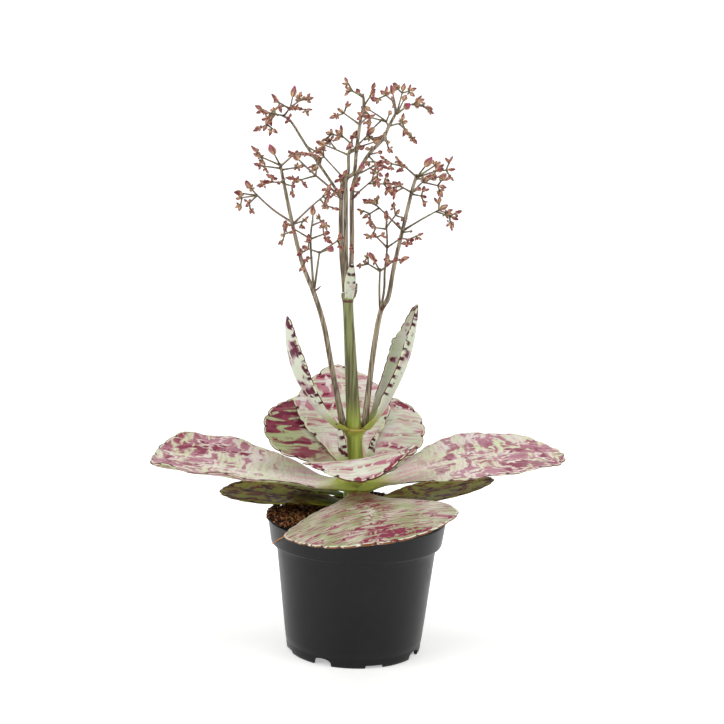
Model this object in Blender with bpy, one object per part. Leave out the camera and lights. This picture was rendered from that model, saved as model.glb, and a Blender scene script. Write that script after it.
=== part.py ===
"""Potted kalanchoe in flower: black nursery pot, soil, spotted leaves in pairs and three sprays of buds.

Sizes are in millimetres and are turned into metres where the meshes are made. +Z is up, the pot's
axis is the Z axis, its foot stands on Z = 0, and the side shown to a viewer faces -Y.
"""
import math
import random

import bmesh
import bpy
import numpy as np
from mathutils import Matrix, Vector

MM = 0.001
GAP = 0.3                     # clearance between two pieces that touch

# Pot
POT_HEIGHT = 89.8
POT_RIM_RADIUS = 60.0
POT_SIDES = 36
POT_OUTSIDE = [(45.6, 0.0), (46.1, 7.0), (46.6, 7.6), (53.9, 72.6), (57.2, 73.4), (58.0, 75.0),
               (POT_RIM_RADIUS, 89.0), (59.7, POT_HEIGHT)]
POT_INSIDE = [(58.9, POT_HEIGHT), (58.5, 89.0), (56.8, 75.8), (52.9, 74.6), (45.3, 7.5)]
POT_FLOOR_UNDER = 6.0
FOOT_INNER_RADIUS = 43.0
ARCH_NOTCH = (12.5, 5.0)      # width and height of the deep foot notches
FLAT_NOTCH = (12.0, 2.0)      # width and height of the shallow ones
ARCH_FIRST = -26.5            # degrees from the front towards the right, every 90 degrees
FLAT_FIRST = 18.5
NOTCH_REACH = (38.0, 52.0)    # radii between which the notches are cut
DRAIN_HOLES = 8
DRAIN_RADIUS = 3.2
DRAIN_RING = 31.0

# Soil
SOIL_SIDES = 26
SOIL_TOP = 88.5
SOIL_MOUND = 5.5              # the root ball stands this much higher at the left of the rim
SOIL_SIDE = [(44.7, 7.8), (52.2, 75.1), (56.1, 76.4), (57.7, 87.4)]
SOIL_RINGS = [56.6, 50.0, 38.0, 24.0, 12.0]
SOIL_HOLE_RADIUS = 5.98
SOIL_HOLE_FLOOR = 48.7

# Main stem: it leans to the left above STEM_LEAN_FROM
STEM_SIDES = 18
STEM_LEAN_FROM = 100.0
STEM_LEAN = -0.078            # sideways run for each millimetre of height
COLLAR_RADIUS = 8.7
CUP_RADIUS = 9.4
NODE_RADIUS = 4.2
STEM_PROFILE = [(0.0, 49.0), (5.6, 49.0), (5.6, 90.0), (COLLAR_RADIUS, 94.0),
                (COLLAR_RADIUS, STEM_LEAN_FROM), (COLLAR_RADIUS, 121.0), (5.4, 128.0), (5.0, 144.0),
                (6.6, 148.0), (CUP_RADIUS, 150.6), (CUP_RADIUS, 151.8), (4.9, 151.8), (4.1, 195.0),
                (3.3, 235.0), (NODE_RADIUS, 238.0), (NODE_RADIUS, 241.0), (3.7, 242.0), (0.0, 242.0)]

# Leaves
SCALLOP = 13.0                # length of one scallop along the margin
SCALLOP_DEPTH = 1.3
EDGE_THICKNESS = 1.0
MID_THICKNESS = 2.4
BASE_THICKNESS = 3.2

# One entry a leaf: where it leaves the stem (height, bearing), its length and width, the rise of its
# midrib at the base and at the tip, and its form. Bearing 0 points right, 90 to the back, 270 to the front.
LEAVES = {
    "leaf_lower_left": dict(z=98, bearing=162, length=90, width=66, rise=(3, 0), roll=-3, fold=9,
                            widest=0.61, shoulder=0.95, tip=1.9),
    "leaf_lower_right": dict(z=98, bearing=21, length=92, width=63, rise=(4, 14), roll=-4, fold=9,
                             widest=0.54, shoulder=0.88, tip=1.75),
    "leaf_front": dict(z=104, bearing=-81.5, bend=-12, length=130, width=108, rise=(18, -14.5), roll=10,
                       fold=-11, widest=0.69, shoulder=0.88, tip=1.35),
    "leaf_low_back": dict(z=103, bearing=92, length=127, width=90, rise=(16, -5), roll=4, fold=8,
                          widest=0.62, shoulder=0.9, tip=1.7),
    "leaf_big_left": dict(z=110, bearing=182, bend=-1, length=130.5, width=106, rise=(8.3, 7), roll=-2.6,
                          fold=21.6, widest=0.75, shoulder=-0.12, tip=2.5),
    "leaf_big_right": dict(z=110, bearing=2.4, bend=4, length=135.5, width=92.7, rise=(26, -4.8), roll=7.4,
                           fold=6.4, widest=0.47, shoulder=0.49, tip=2.1),
    "leaf_small_front": dict(z=114, bearing=-87, length=67, width=75, rise=(72, -42.5), roll=10, fold=12.6,
                             base=8, widest=0.6, shoulder=0.54, tip=1.2),
    "leaf_back_left": dict(z=113, bearing=146, length=75, width=63, rise=(43, 36), roll=-20, fold=8.7,
                           base=7, widest=0.61, shoulder=1.15, tip=2.15),
    "leaf_back_right": dict(z=113, bearing=65, length=74, width=57, rise=(41.5, 43), roll=25.5, fold=8.5,
                            base=7, widest=0.6, shoulder=0.95, tip=2.3),
    "leaf_back_centre": dict(z=118, bearing=105, bend=2.5, length=84, width=71, rise=(46, 64), roll=-3.3,
                             fold=9, base=8, widest=0.71, shoulder=0.31, tip=0.73),
    "leaf_upright_left": dict(z=151, bearing=202, bend=-10, length=89, width=30.5, rise=(33, 93), roll=6.7,
                              fold=39, base=13, widest=0.67, shoulder=0.85, tip=1.1, at=CUP_RADIUS,
                              scallop=9, depth=0.8),
    "leaf_upright_right": dict(z=151, bearing=5.4, bend=8.5, length=91, width=31.5, rise=(52, 88.5), roll=11,
                               fold=91, base=13, widest=0.71, shoulder=-0.1, tip=0.56, at=CUP_RADIUS,
                               scallop=9, depth=0.8),
    "leaf_under_left": dict(z=104, bearing=154, length=44, width=24, rise=(4, 0), fold=10, base=7,
                            widest=0.6, shoulder=0.9, tip=1.7, scallop=9, depth=0.6),
    "leaf_young_left": dict(z=121, bearing=196, length=34, width=12, rise=(58, 74), fold=60, base=6,
                            widest=0.5, shoulder=0.4, tip=1.3, scallop=8, depth=0.5),
    "leaf_young_right": dict(z=121, bearing=-14, length=27, width=11, rise=(58, 72), fold=60, base=6,
                             widest=0.5, shoulder=0.4, tip=1.3, scallop=8, depth=0.5),
    "bract_front": dict(z=238.5, bearing=-78, length=25, width=9, rise=(62, 88), fold=62, base=6,
                        widest=0.45, shoulder=0.3, tip=1.2, at=NODE_RADIUS, scallop=8, depth=0.3),
    "bract_right": dict(z=238.5, bearing=38, length=15, width=7, rise=(50, 80), fold=60, base=5,
                        widest=0.45, shoulder=0.3, tip=1.2, at=NODE_RADIUS, scallop=8, depth=0.3),
}
# Leaves in a colour of their own. The others are pale green with burgundy spots.
LEAF_SLOTS = {
    "leaf_shaded": ("leaf_lower_left", "leaf_lower_right", "leaf_under_left", "leaf_low_back"),
    "leaf_burgundy": ("leaf_back_left",),
    "leaf_blush": ("leaf_small_front", "leaf_back_right", "leaf_back_centre"),
    "leaf_whitish": ("leaf_upright_left", "leaf_upright_right", "leaf_young_left", "leaf_young_right",
                     "bract_front", "bract_right"),
}

# Flower sprays
BUD_SHARE = 0.50              # buds built for each bud counted on the plant
STALK_RADIUS = (0.6, 0.45)    # at the root and below the bud
ROOT_SCATTER = 0.2            # stalks that share a fork start this far apart at most
BUD_GIRTH = 0.24              # widest radius of a bud over its length
SMALL_BUD = 6.0               # buds shorter than this have three sides, the others four

# A stem is its route and its radius at both ends.
LEFT_STEMS = [
    ([(-11.3, -1, 152.6), (-19, -1, 187), (-26, -2, 220), (-33, -3, 241), (-41, -4, 260), (-48, -5, 285),
      (-54, -7, 311), (-57, -8, 325)], 1.7, 0.9),
    ([(-33, -3, 241), (-34, -8, 252), (-35, -9, 263), (-36, -9, 278), (-35, -8, 290)], 0.9, 0.6),
    ([(-33, -3, 243), (-32, -2, 252), (-31, -3, 261), (-30, -4, 269)], 0.8, 0.6),
    ([(-48, -5, 287), (-61, -4, 295), (-73, -2, 305)], 0.8, 0.6),
]
RIGHT_STEMS = [
    ([(2.9, -1, 152.3), (7, -1, 200), (11, -2, 229), (16, -2, 240), (19, -3, 260), (24, -4, 285),
      (29, -6, 310), (32, -6, 321)], 1.7, 0.9),
    ([(11, -2, 230), (13, -8, 245), (13, -9, 257), (14, -10, 274), (13, -10, 289)], 0.9, 0.6),
    ([(11, -2, 229), (10, -1, 244), (10, -2, 259)], 0.8, 0.6),
]
CENTRE_STEMS = [
    ([(-12.6, 0.4, 242.5), (-16, 2, 270), (-17, 2, 304), (-16, 5, 317), (-13, 7, 321), (-13, 9, 333),
      (-11, 9, 340)], 1.5, 0.8),
    ([(-11.2, -1.2, 242.5), (-13, 0, 270), (-14, 2, 303), (-14, 0, 316), (-9, -2, 321), (-8, -5, 333),
      (-6, -8, 353), (-4, -11, 364), (-5, -11, 371)], 1.5, 0.8),
    ([(-9.6, 0.6, 242.4), (-9, 3, 270), (-10, 2, 304), (-9, 1, 314), (-5, 3, 324), (1, 6, 334), (9, 8, 343),
      (13, 11, 352), (18, 11, 362)], 1.5, 0.9),
    ([(-17, 2, 303), (-21, 7, 310), (-41, 16, 337), (-52, 19, 353), (-58, 22, 357)], 1.1, 0.7),
    ([(-17, 2, 304), (-25, 0, 311), (-35, -3, 319), (-42, -8, 325)], 0.8, 0.6),
]

# An arm is its route from a stem to where its buds begin, how many buds the plant has there and the longest.
LEFT_ARMS = [
    ([(-57, -8, 324), (-60, -14, 330)], 1, 9), ([(-57, -8, 324), (-70, 2, 329)], 8, 6.5),
    ([(-57, -8, 322), (-67, -26, 323)], 4, 4.5), ([(-57, -8, 323), (-47, -26, 331)], 5, 5),
    ([(-56, -8, 321), (-47, 6, 323)], 4, 4.5), ([(-54, -7, 313), (-62, -19, 313)], 7, 6),
    ([(-54, -7, 315), (-56, -22, 313)], 1, 5.5), ([(-54, -7, 312), (-48, -25, 311)], 6, 5),
    ([(-72, -2, 304), (-76, 2, 308)], 3, 7.5), ([(-72, -2, 304), (-80, -10, 305)], 1, 7),
    ([(-72, -2, 304), (-83, 9, 302)], 4, 5), ([(-72, -2, 304), (-76, -14, 299)], 4, 4.5),
    ([(-48, -5, 286), (-37, -14, 297), (-28, -21, 305)], 8, 5), ([(-30, -20, 303), (-27, -12, 299)], 4, 4.5),
    ([(-48, -5, 285), (-51, -18, 287)], 2, 6), ([(-47, -5, 282), (-54, 6, 279)], 5, 4.5),
    ([(-48, -5, 286), (-42, 10, 288)], 4, 4), ([(-35, -8, 288), (-35, -7, 291)], 1, 8),
    ([(-36, -9, 277), (-45, -23, 283)], 2, 4), ([(-36, -9, 277), (-27, -24, 281)], 7, 6),
    ([(-35, -8, 286), (-30, 3, 288)], 5, 4.5), ([(-35, -9, 265), (-38, -21, 264)], 4, 5),
    ([(-30, -4, 268), (-37, -17, 271)], 5, 6.5), ([(-30, -4, 268), (-24, -21, 271)], 1, 8),
    ([(-30, -4, 268), (-18, -22, 277)], 4, 5.5),
]
RIGHT_ARMS = [
    ([(32, -6, 319), (36, -10, 325)], 1, 9), ([(32, -6, 319), (23, -12, 326)], 6, 5),
    ([(25, -11, 325), (15, -20, 327)], 5, 5.5), ([(32, -6, 319), (43, -19, 323)], 4, 6.5),
    ([(42, -18, 323), (50, -22, 324)], 5, 5), ([(32, -6, 319), (44, 10, 327)], 3, 6),
    ([(32, -6, 318), (43, 14, 318)], 6, 5), ([(29, -6, 309), (21, -12, 313)], 4, 6),
    ([(23, -11, 312), (18, -22, 309)], 3, 6), ([(29, -6, 309), (32, -19, 311)], 1, 7),
    ([(29, -6, 309), (37, 4, 317)], 2, 6), ([(36, 3, 316), (46, -3, 314)], 6, 5),
    ([(29, -6, 308), (35, -16, 307)], 5, 5), ([(24, -4, 284), (13, 6, 294), (6, 12, 300)], 6, 6.5),
    ([(8, 10, 298), (2, 12, 294)], 5, 4.5), ([(24, -4, 284), (37, 4, 292), (48, 12, 298)], 6, 7),
    ([(46, 10, 297), (55, 6, 294)], 6, 5), ([(24, -4, 284), (21, -17, 288)], 1, 5),
    ([(24, -4, 283), (28, -14, 284)], 1, 4), ([(23, -4, 279), (28, -16, 279)], 6, 6),
    ([(13, -10, 286), (13, -11, 291)], 3, 5.5), ([(13, -10, 285), (6, -20, 286)], 5, 4),
    ([(14, -10, 273), (7, -20, 280)], 5, 5), ([(14, -10, 273), (20, -20, 278)], 1, 4),
    ([(13, -10, 286), (19, -1, 294)], 5, 5), ([(10, -2, 257), (6, -9, 264)], 2, 8),
    ([(10, -2, 257), (2, 7, 261)], 5, 4.5), ([(10, -2, 257), (18, -24, 265)], 7, 6.5),
]
CENTRE_ARMS = [
    ([(-36, 14, 330), (-41, 28, 332)], 4, 5.5), ([(-41, 16, 337), (-35, 4, 334)], 4, 5.5),
    ([(-33, 13, 326), (-36, 24, 325)], 3, 5), ([(-52, 19, 353), (-53, 8, 354)], 3, 5),
    ([(-57, 22, 357), (-53, 22, 363), (-52, 22, 368)], 1, 8.5), ([(-54, 22, 362), (-47, 32, 368)], 7, 5.5),
    ([(-54, 22, 362), (-60, 10, 365)], 4, 6), ([(-57, 22, 357), (-66, 13, 358)], 6, 6.5),
    ([(-61, 18, 357), (-65, 31, 360)], 4, 6), ([(-63, 16, 357), (-67, 8, 350)], 5, 6),
    ([(-54, 22, 361), (-47, 9, 361)], 6, 5), ([(-41, -7, 324), (-44, -10, 327)], 1, 8.5),
    ([(-34, -3, 318), (-43, -15, 315)], 5, 6), ([(-34, -3, 318), (-34, 8, 322)], 2, 5.5),
    ([(-25, 0, 311), (-25, -11, 309)], 2, 4.5), ([(-16, 5, 316), (-19, 16, 320), (-30, 26, 331)], 8, 5.5),
    ([(-13, 9, 332), (-20, 15, 335), (-28, 20, 338)], 1, 8), ([(-22, 16, 336), (-26, 26, 341)], 3, 5.5),
    ([(-13, 9, 333), (-7, 0, 336)], 2, 7), ([(-12, 9, 335), (-6, 18, 338), (2, 24, 341)], 1, 8.5),
    ([(-11, 9, 339), (-18, 18, 345)], 3, 7), ([(-17, 17, 344), (-25, 25, 346)], 4, 5.5),
    ([(-11, 9, 338), (-11, -4, 342)], 4, 6.5), ([(-9, 13, 337), (-1, 24, 346)], 6, 6),
    ([(-3, 21, 343), (6, 27, 345)], 1, 5.5), ([(-7, -8, 352), (-17, 2, 359)], 6, 5.5),
    ([(-6, -8, 352), (-2, -24, 355)], 4, 6), ([(-5, -11, 369), (-12, -6, 373)], 5, 5.5),
    ([(-5, -11, 369), (-7, -19, 371)], 1, 6.5), ([(-4, -11, 363), (0, -18, 369)], 5, 5.5),
    ([(1, 6, 334), (2, 18, 337)], 2, 5.5), ([(1, 6, 333), (6, -7, 334)], 1, 7),
    ([(0, 6, 332), (4, -7, 328)], 5, 5), ([(9, 8, 343), (12, 22, 342)], 5, 5.5),
    ([(13, 11, 351), (10, 18, 356), (1, 26, 362)], 1, 7), ([(11, 16, 355), (1, 10, 357)], 5, 6),
    ([(9, 19, 357), (4, 22, 352)], 1, 7.5), ([(11, 16, 355), (13, 28, 360)], 1, 7),
    ([(13, 11, 352), (22, 26, 355)], 4, 6), ([(20, 22, 354), (26, 32, 349)], 6, 5.5),
    ([(18, 11, 360), (15, 2, 371)], 1, 8), ([(16, 5, 367), (10, -3, 371)], 4, 5.5),
    ([(17, 10, 360), (16, 21, 367)], 3, 5), ([(18, 11, 360), (22, 25, 369)], 1, 7.5),
    ([(18, 11, 361), (21, 15, 374)], 7, 5.5), ([(18, 11, 360), (22, 1, 363)], 1, 8.5),
    ([(18, 11, 360), (24, 18, 365), (30, 22, 368)], 3, 7), ([(28, 21, 367), (36, 25, 366)], 6, 5),
    ([(-10, 2, 303), (-8, 8, 306), (3, 18, 316)], 6, 5.5), ([(1, 16, 314), (11, 12, 314)], 5, 6.5),
    ([(-10, 0, 319), (-4, -11, 321), (3, -14, 325)], 5, 6), ([(-4, -11, 321), (-4, -17, 323)], 1, 8),
    ([(1, -13, 324), (6, -20, 321)], 4, 6), ([(-9, 1, 314), (-8, -13, 313)], 3, 6.5),
    ([(-10, 1, 309), (-7, 13, 308)], 1, 6), ([(-15, 3, 313), (-17, -11, 317)], 3, 6),
    ([(-16, 2, 308), (-19, -11, 309)], 3, 5.5), ([(-9, 3, 271), (-9, -7, 273)], 2, 4.5),
]
# A spray bract is where it starts, where it points to, and its width.
LEFT_BRACTS = [((-33, -3, 242), (-28, -9, 247), 2.4)]
RIGHT_BRACTS = [((11, -2, 230), (15, -9, 236), 2.4)]
CENTRE_BRACTS = [((-16, 1, 303), (-27, -5, 308), 3.0), ((-10, 1, 303), (-5, -9, 309), 3.0)]

COLOURS = {
    # slot: (sRGB hex, roughness)
    "pot_plastic": ("#2f2f31", 0.45),
    "soil": ("#3a2a20", 0.95),
    "stem_green": ("#7d8f45", 0.5),
    "leaf_spotted": ("#b59aa0", 0.42),
    "leaf_shaded": ("#8f7f62", 0.45),
    "leaf_burgundy": ("#8d5563", 0.42),
    "leaf_blush": ("#cbb4b6", 0.4),
    "leaf_whitish": ("#cfc6c4", 0.42),
    "spray_buds": ("#a8655a", 0.55),
}


def clear_scene():
    """Removes whatever objects the file opens with."""
    for item in list(bpy.data.objects):
        bpy.data.objects.remove(item, do_unlink=True)


def linear(hex_colour):
    """Turns an sRGB hex colour into the linear values that a shader socket takes."""
    channels = [int(hex_colour[i:i + 2], 16) / 255 for i in (1, 3, 5)]
    return [c / 12.92 if c <= 0.04045 else ((c + 0.055) / 1.055) ** 2.4 for c in channels] + [1.0]


def make_material(slot):
    """Principled material with the slot's colour and roughness."""
    colour, roughness = COLOURS[slot]
    material = bpy.data.materials.new(slot)
    material.use_nodes = True
    shader = material.node_tree.nodes["Principled BSDF"]
    shader.inputs["Base Color"].default_value = linear(colour)
    shader.inputs["Roughness"].default_value = roughness
    shader.inputs["Metallic"].default_value = 0.0
    return material


def make_object(name, points, faces, slot=None, smooth_angle=None, collection=None):
    """Builds a mesh object from points in millimetres, with its normals facing out."""
    mesh = bpy.data.meshes.new(name)
    mesh.from_pydata([tuple(c * MM for c in p) for p in points], [], faces)
    mesh.validate()
    work = bmesh.new()
    work.from_mesh(mesh)
    bmesh.ops.recalc_face_normals(work, faces=work.faces)
    work.to_mesh(mesh)
    work.free()
    item = bpy.data.objects.new(name, mesh)
    (collection or bpy.context.scene.collection).objects.link(item)
    if slot:
        material = bpy.data.materials.get(slot) or make_material(slot)
        mesh.materials.append(material)
    if smooth_angle:
        shade_smooth(item, smooth_angle)
    return item


def shade_smooth(item, angle):
    """Smooth shading, with edges steeper than the angle (degrees) kept sharp."""
    item.data.polygons.foreach_set("use_smooth", [True] * len(item.data.polygons))
    item.data.set_sharp_from_angle(angle=math.radians(angle))


def apply_boolean(item, operation, tool=None, collection=None):
    """Cuts or joins with one tool object or a whole collection, and keeps the result as the mesh."""
    modifier = item.modifiers.new("boolean", "BOOLEAN")
    modifier.operation = operation
    if collection:
        modifier.operand_type = "COLLECTION"
        modifier.collection = collection
    else:
        modifier.object = tool
    view = bpy.context.evaluated_depsgraph_get()
    result = bpy.data.meshes.new_from_object(item.evaluated_get(view), depsgraph=view)
    item.modifiers.clear()
    old = item.data
    item.data = result
    bpy.data.meshes.remove(old)


def cut_all(item, tools):
    """Cuts every tool out of the item and removes the tools."""
    for tool in tools:
        tool.hide_render = True
        tool.display_type = "WIRE"
        apply_boolean(item, "DIFFERENCE", tool=tool)
        bpy.data.objects.remove(tool, do_unlink=True)


def turned(profile, sides, centre_x=None):
    """Turns a closed profile of (radius, height) points about Z. Both ends of the profile lie on the axis.

    centre_x, a function of the height, moves each ring sideways.
    """
    shift = centre_x or (lambda z: 0.0)
    points, rings = [], []
    for radius, z in profile:
        if radius == 0.0:
            rings.append([len(points)])
            points.append((shift(z), 0.0, z))
            continue
        rings.append(list(range(len(points), len(points) + sides)))
        for k in range(sides):
            turn = 2 * math.pi * k / sides
            points.append((shift(z) + radius * math.cos(turn), radius * math.sin(turn), z))
    return points, join_rings(rings, sides)


def join_rings(rings, sides):
    """Faces between neighbouring rings. A ring of one point closes into triangles."""
    faces = []
    for low, high in zip(rings, rings[1:]):
        for k in range(sides):
            a, b = low[k % len(low)], low[(k + 1) % len(low)]
            c, d = high[(k + 1) % len(high)], high[k % len(high)]
            faces.append(tuple(dict.fromkeys((a, b, c, d))))
    return faces


def from_front(bearing):
    """Unit direction at the bearing in degrees, counted from the front (-Y) towards the right (+X)."""
    turn = math.radians(bearing)
    return Vector((math.sin(turn), -math.cos(turn), 0.0))


def block(name, along, width, height, inner, outer):
    """Box cutter that lies on the ground line from radius inner to outer, as wide and high as given."""
    side = Vector((-along.y, along.x, 0.0))
    points = []
    for z in (-2.0, height):
        for run, across in ((inner, -width / 2), (outer, -width / 2), (outer, width / 2), (inner, width / 2)):
            points.append(tuple(along * run + side * across + Vector((0, 0, z))))
    faces = [(0, 1, 2, 3), (4, 5, 6, 7), (0, 1, 5, 4), (1, 2, 6, 5), (2, 3, 7, 6), (3, 0, 4, 7)]
    return make_object(name, points, faces)


def arch(name, along, width, height, inner, outer):
    """Arched cutter: straight legs below, a round head above."""
    side = Vector((-along.y, along.x, 0.0))
    outline = [(-width / 2, -2.0), (width / 2, -2.0)]
    for k in range(6):
        turn = math.pi * k / 5
        outline.append((width / 2 * math.cos(turn), height * (0.35 + 0.65 * math.sin(turn))))
    points = [tuple(along * run + side * a + Vector((0, 0, z))) for run in (inner, outer) for a, z in outline]
    count = len(outline)
    faces = [tuple(range(count)), tuple(range(count, 2 * count))]
    faces += [(k, (k + 1) % count, count + (k + 1) % count, count + k) for k in range(count)]
    return make_object(name, points, faces)


def build_pot():
    """Thin-walled nursery pot with a stepped skirt, foot ring, notches in the foot and drain holes."""
    profile = [(0.0, POT_FLOOR_UNDER), (FOOT_INNER_RADIUS + 0.4, POT_FLOOR_UNDER), (FOOT_INNER_RADIUS, 0.0)]
    profile += POT_OUTSIDE + POT_INSIDE + [(0.0, POT_INSIDE[-1][1])]
    points, faces = turned(profile, POT_SIDES)
    pot = make_object("pot", points, faces, "pot_plastic")
    tools = []
    for k in range(4):
        along = from_front(ARCH_FIRST + 90 * k)
        tools.append(arch(f"cut_arch_{k}", along, *ARCH_NOTCH, *NOTCH_REACH))
        along = from_front(FLAT_FIRST + 90 * k)
        tools.append(block(f"cut_flat_{k}", along, *FLAT_NOTCH, *NOTCH_REACH))
    hole = [(0.0, 4.0), (DRAIN_RADIUS, 4.0), (DRAIN_RADIUS, 10.0), (0.0, 10.0)]
    for k in range(DRAIN_HOLES):
        place = from_front(22.5 + 45 * k) * DRAIN_RING
        points, faces = turned(hole, 7)
        points = [(x + place.x, y + place.y, z) for x, y, z in points]
        tools.append(make_object(f"cut_drain_{k}", points, faces))
    cut_all(pot, tools)
    shade_smooth(pot, 35)
    return pot


def soil_height(x, y):
    """Height of the soil's top: gently uneven, and higher towards the left of the rim."""
    radius = math.hypot(x, y)
    left = max(0.0, -x / 58.0) ** 2 * math.exp(-((y + 8.0) / 34.0) ** 2)
    ripple = 0.7 * math.sin(0.21 * x + 1.0) * math.cos(0.17 * y) + 0.5 * math.sin(0.13 * (x + y))
    return SOIL_TOP + SOIL_MOUND * left + ripple * min(1.0, radius / 20.0)


def build_soil():
    """Soil that fills the pot, with an uneven top and a plain hole for the main stem."""
    points, loops = [], []

    def add_ring(radius, height):
        loops.append(list(range(len(points), len(points) + SOIL_SIDES)))
        for k in range(SOIL_SIDES):
            turn = 2 * math.pi * k / SOIL_SIDES
            x, y = radius * math.cos(turn), radius * math.sin(turn)
            points.append((x, y, height if height is not None else soil_height(x, y)))

    def add_centre(height):
        loops.append([len(points)])
        points.append((0.0, 0.0, height))

    add_centre(SOIL_SIDE[0][1])
    for radius, z in SOIL_SIDE:
        add_ring(radius, z)
    for radius in SOIL_RINGS + [SOIL_HOLE_RADIUS]:
        add_ring(radius, None)
    add_ring(SOIL_HOLE_RADIUS, SOIL_HOLE_FLOOR)
    add_centre(SOIL_HOLE_FLOOR)
    return make_object("soil", points, join_rings(loops, SOIL_SIDES), "soil", smooth_angle=50)


def stem_x(z):
    """Sideways place of the main stem's axis at a height."""
    return STEM_LEAN * np.clip(np.asarray(z, float) - STEM_LEAN_FROM, 0.0, None)


def build_stem():
    """Main stem with the leaf collar, the cup under the upright pair and the swollen node at the top."""
    points, faces = turned(STEM_PROFILE, STEM_SIDES, centre_x=lambda z: float(stem_x(z)))
    return make_object("stem", points, faces, "stem_green", smooth_angle=50)


class Leaf:
    """A leaf blade as a surface over s (0 at the stem, 1 at the tip) and t (-1 and 1 at the margins)."""

    def __init__(self, z, bearing, length, width, rise, roll=0, fold=10, bend=0, base=10, widest=0.6,
                 shoulder=0.9, tip=1.8, at=COLLAR_RADIUS, scallop=SCALLOP, depth=SCALLOP_DEPTH):
        self.z, self.bearing, self.length, self.width = z, bearing, length, width
        self.rise, self.roll, self.fold, self.bend, self.base = rise, roll, fold, bend, base
        self.widest, self.shoulder, self.tip, self.at = widest, shoulder, tip, at
        self.scallop, self.depth = scallop, depth

    def half_width(self, s):
        """Grows from the narrow base to the widest place, then closes in a round end."""
        narrow, wide = self.base / 2, self.width / 2
        grown = np.sin(np.clip(s / self.widest, 0, 1) * np.pi / 2) ** (1 + self.shoulder)
        closing = np.clip((s - self.widest) / (1 - self.widest), 0, 1)
        closed = np.sqrt(np.clip(1 - closing ** self.tip, 0, 1))
        return np.where(s < self.widest, narrow + (wide - narrow) * grown, wide * closed)

    def midrib(self, s):
        """Places on the midrib, found by adding up short steps along its changing rise and bearing."""
        fine = np.linspace(0, 1, 201)
        rise = np.radians(self.rise[0] + (self.rise[1] - self.rise[0]) * fine)
        bearing = np.radians(self.bearing + self.bend * fine)
        steps = np.stack([np.cos(rise) * np.cos(bearing), np.cos(rise) * np.sin(bearing), np.sin(rise)], 1)
        run = np.cumsum((steps[1:] + steps[:-1]) / 2, 0) * self.length / 200
        run = np.concatenate([np.zeros((1, 3)), run])
        first = math.radians(self.bearing)
        reach = self.at + GAP
        start = np.array([stem_x(self.z) + reach * math.cos(first), reach * math.sin(first), self.z])
        return start + np.stack([np.interp(s, fine, run[:, k]) for k in range(3)], -1)

    def surface(self, s, t):
        """Middle surface: an arc across the midrib, rolled about it, that hugs the stem at the base."""
        s, t = np.broadcast_arrays(np.asarray(s, float), np.asarray(t, float))
        rise = np.radians(self.rise[0] + (self.rise[1] - self.rise[0]) * s)
        bearing = np.radians(self.bearing + self.bend * s)
        along = np.stack([np.cos(rise) * np.cos(bearing), np.cos(rise) * np.sin(bearing), np.sin(rise)], -1)
        side = np.stack([-np.sin(bearing), np.cos(bearing), np.zeros_like(s)], -1)
        lift = np.cross(along, side)
        roll = np.radians(self.roll) * np.clip(s / 0.5, 0, 1)
        turn_c, turn_s = np.cos(roll)[..., None], np.sin(roll)[..., None]
        side, lift = side * turn_c + lift * turn_s, lift * turn_c - side * turn_s
        half = self.half_width(s)
        fold = np.radians(self.fold) * np.clip(s / 0.25, 0.35, 1)
        across = half * np.sin(fold * t) / fold
        up = half * (1 - np.cos(fold * t)) / fold
        reach = self.at + GAP
        hug = (reach - np.sqrt(np.clip(reach ** 2 - across ** 2, 0, None))) * np.clip(1 - s / 0.12, 0, 1)
        first = math.radians(self.bearing)
        inward = -np.array([math.cos(first), math.sin(first), 0.0])
        return self.midrib(s) + across[..., None] * side + up[..., None] * lift + hug[..., None] * inward

    def normal(self, s, t):
        """Unit normal of the middle surface, pointing to the upper face."""
        s, t = np.broadcast_arrays(np.asarray(s, float), np.asarray(t, float))
        s = np.clip(s, 0.01, 0.985)
        t = np.clip(t, -0.96, 0.96)
        ds = self.surface(s + 0.008, t) - self.surface(s - 0.008, t)
        dt = self.surface(s, t + 0.03) - self.surface(s, t - 0.03)
        out = np.cross(ds, dt)
        return out / np.linalg.norm(out, axis=-1, keepdims=True)

    def thickness(self, s, t):
        """Thick at the base and the midrib, thin at the margin."""
        small = min(1.0, 0.55 + self.width / 100)
        middle = np.interp(s, [0, 0.3, 1], [BASE_THICKNESS * small, MID_THICKNESS * small, 1.5 * small])
        return np.maximum(EDGE_THICKNESS, middle + (EDGE_THICKNESS - middle) * np.abs(t) ** 2.5)

    def rows(self):
        """Values of s that split the margin into scallops of like length, three steps to a scallop."""
        fine = np.linspace(0, 1, 401)
        edge = self.surface(fine, np.ones_like(fine))
        run = np.concatenate([[0.0], np.cumsum(np.linalg.norm(np.diff(edge, axis=0), axis=1))])
        scallops = max(4, round(run[-1] / self.scallop))
        steps = np.linspace(0, run[-1] * (1 - 0.35 / scallops), scallops * 3 + 1)
        return np.interp(steps, run, fine)


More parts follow.
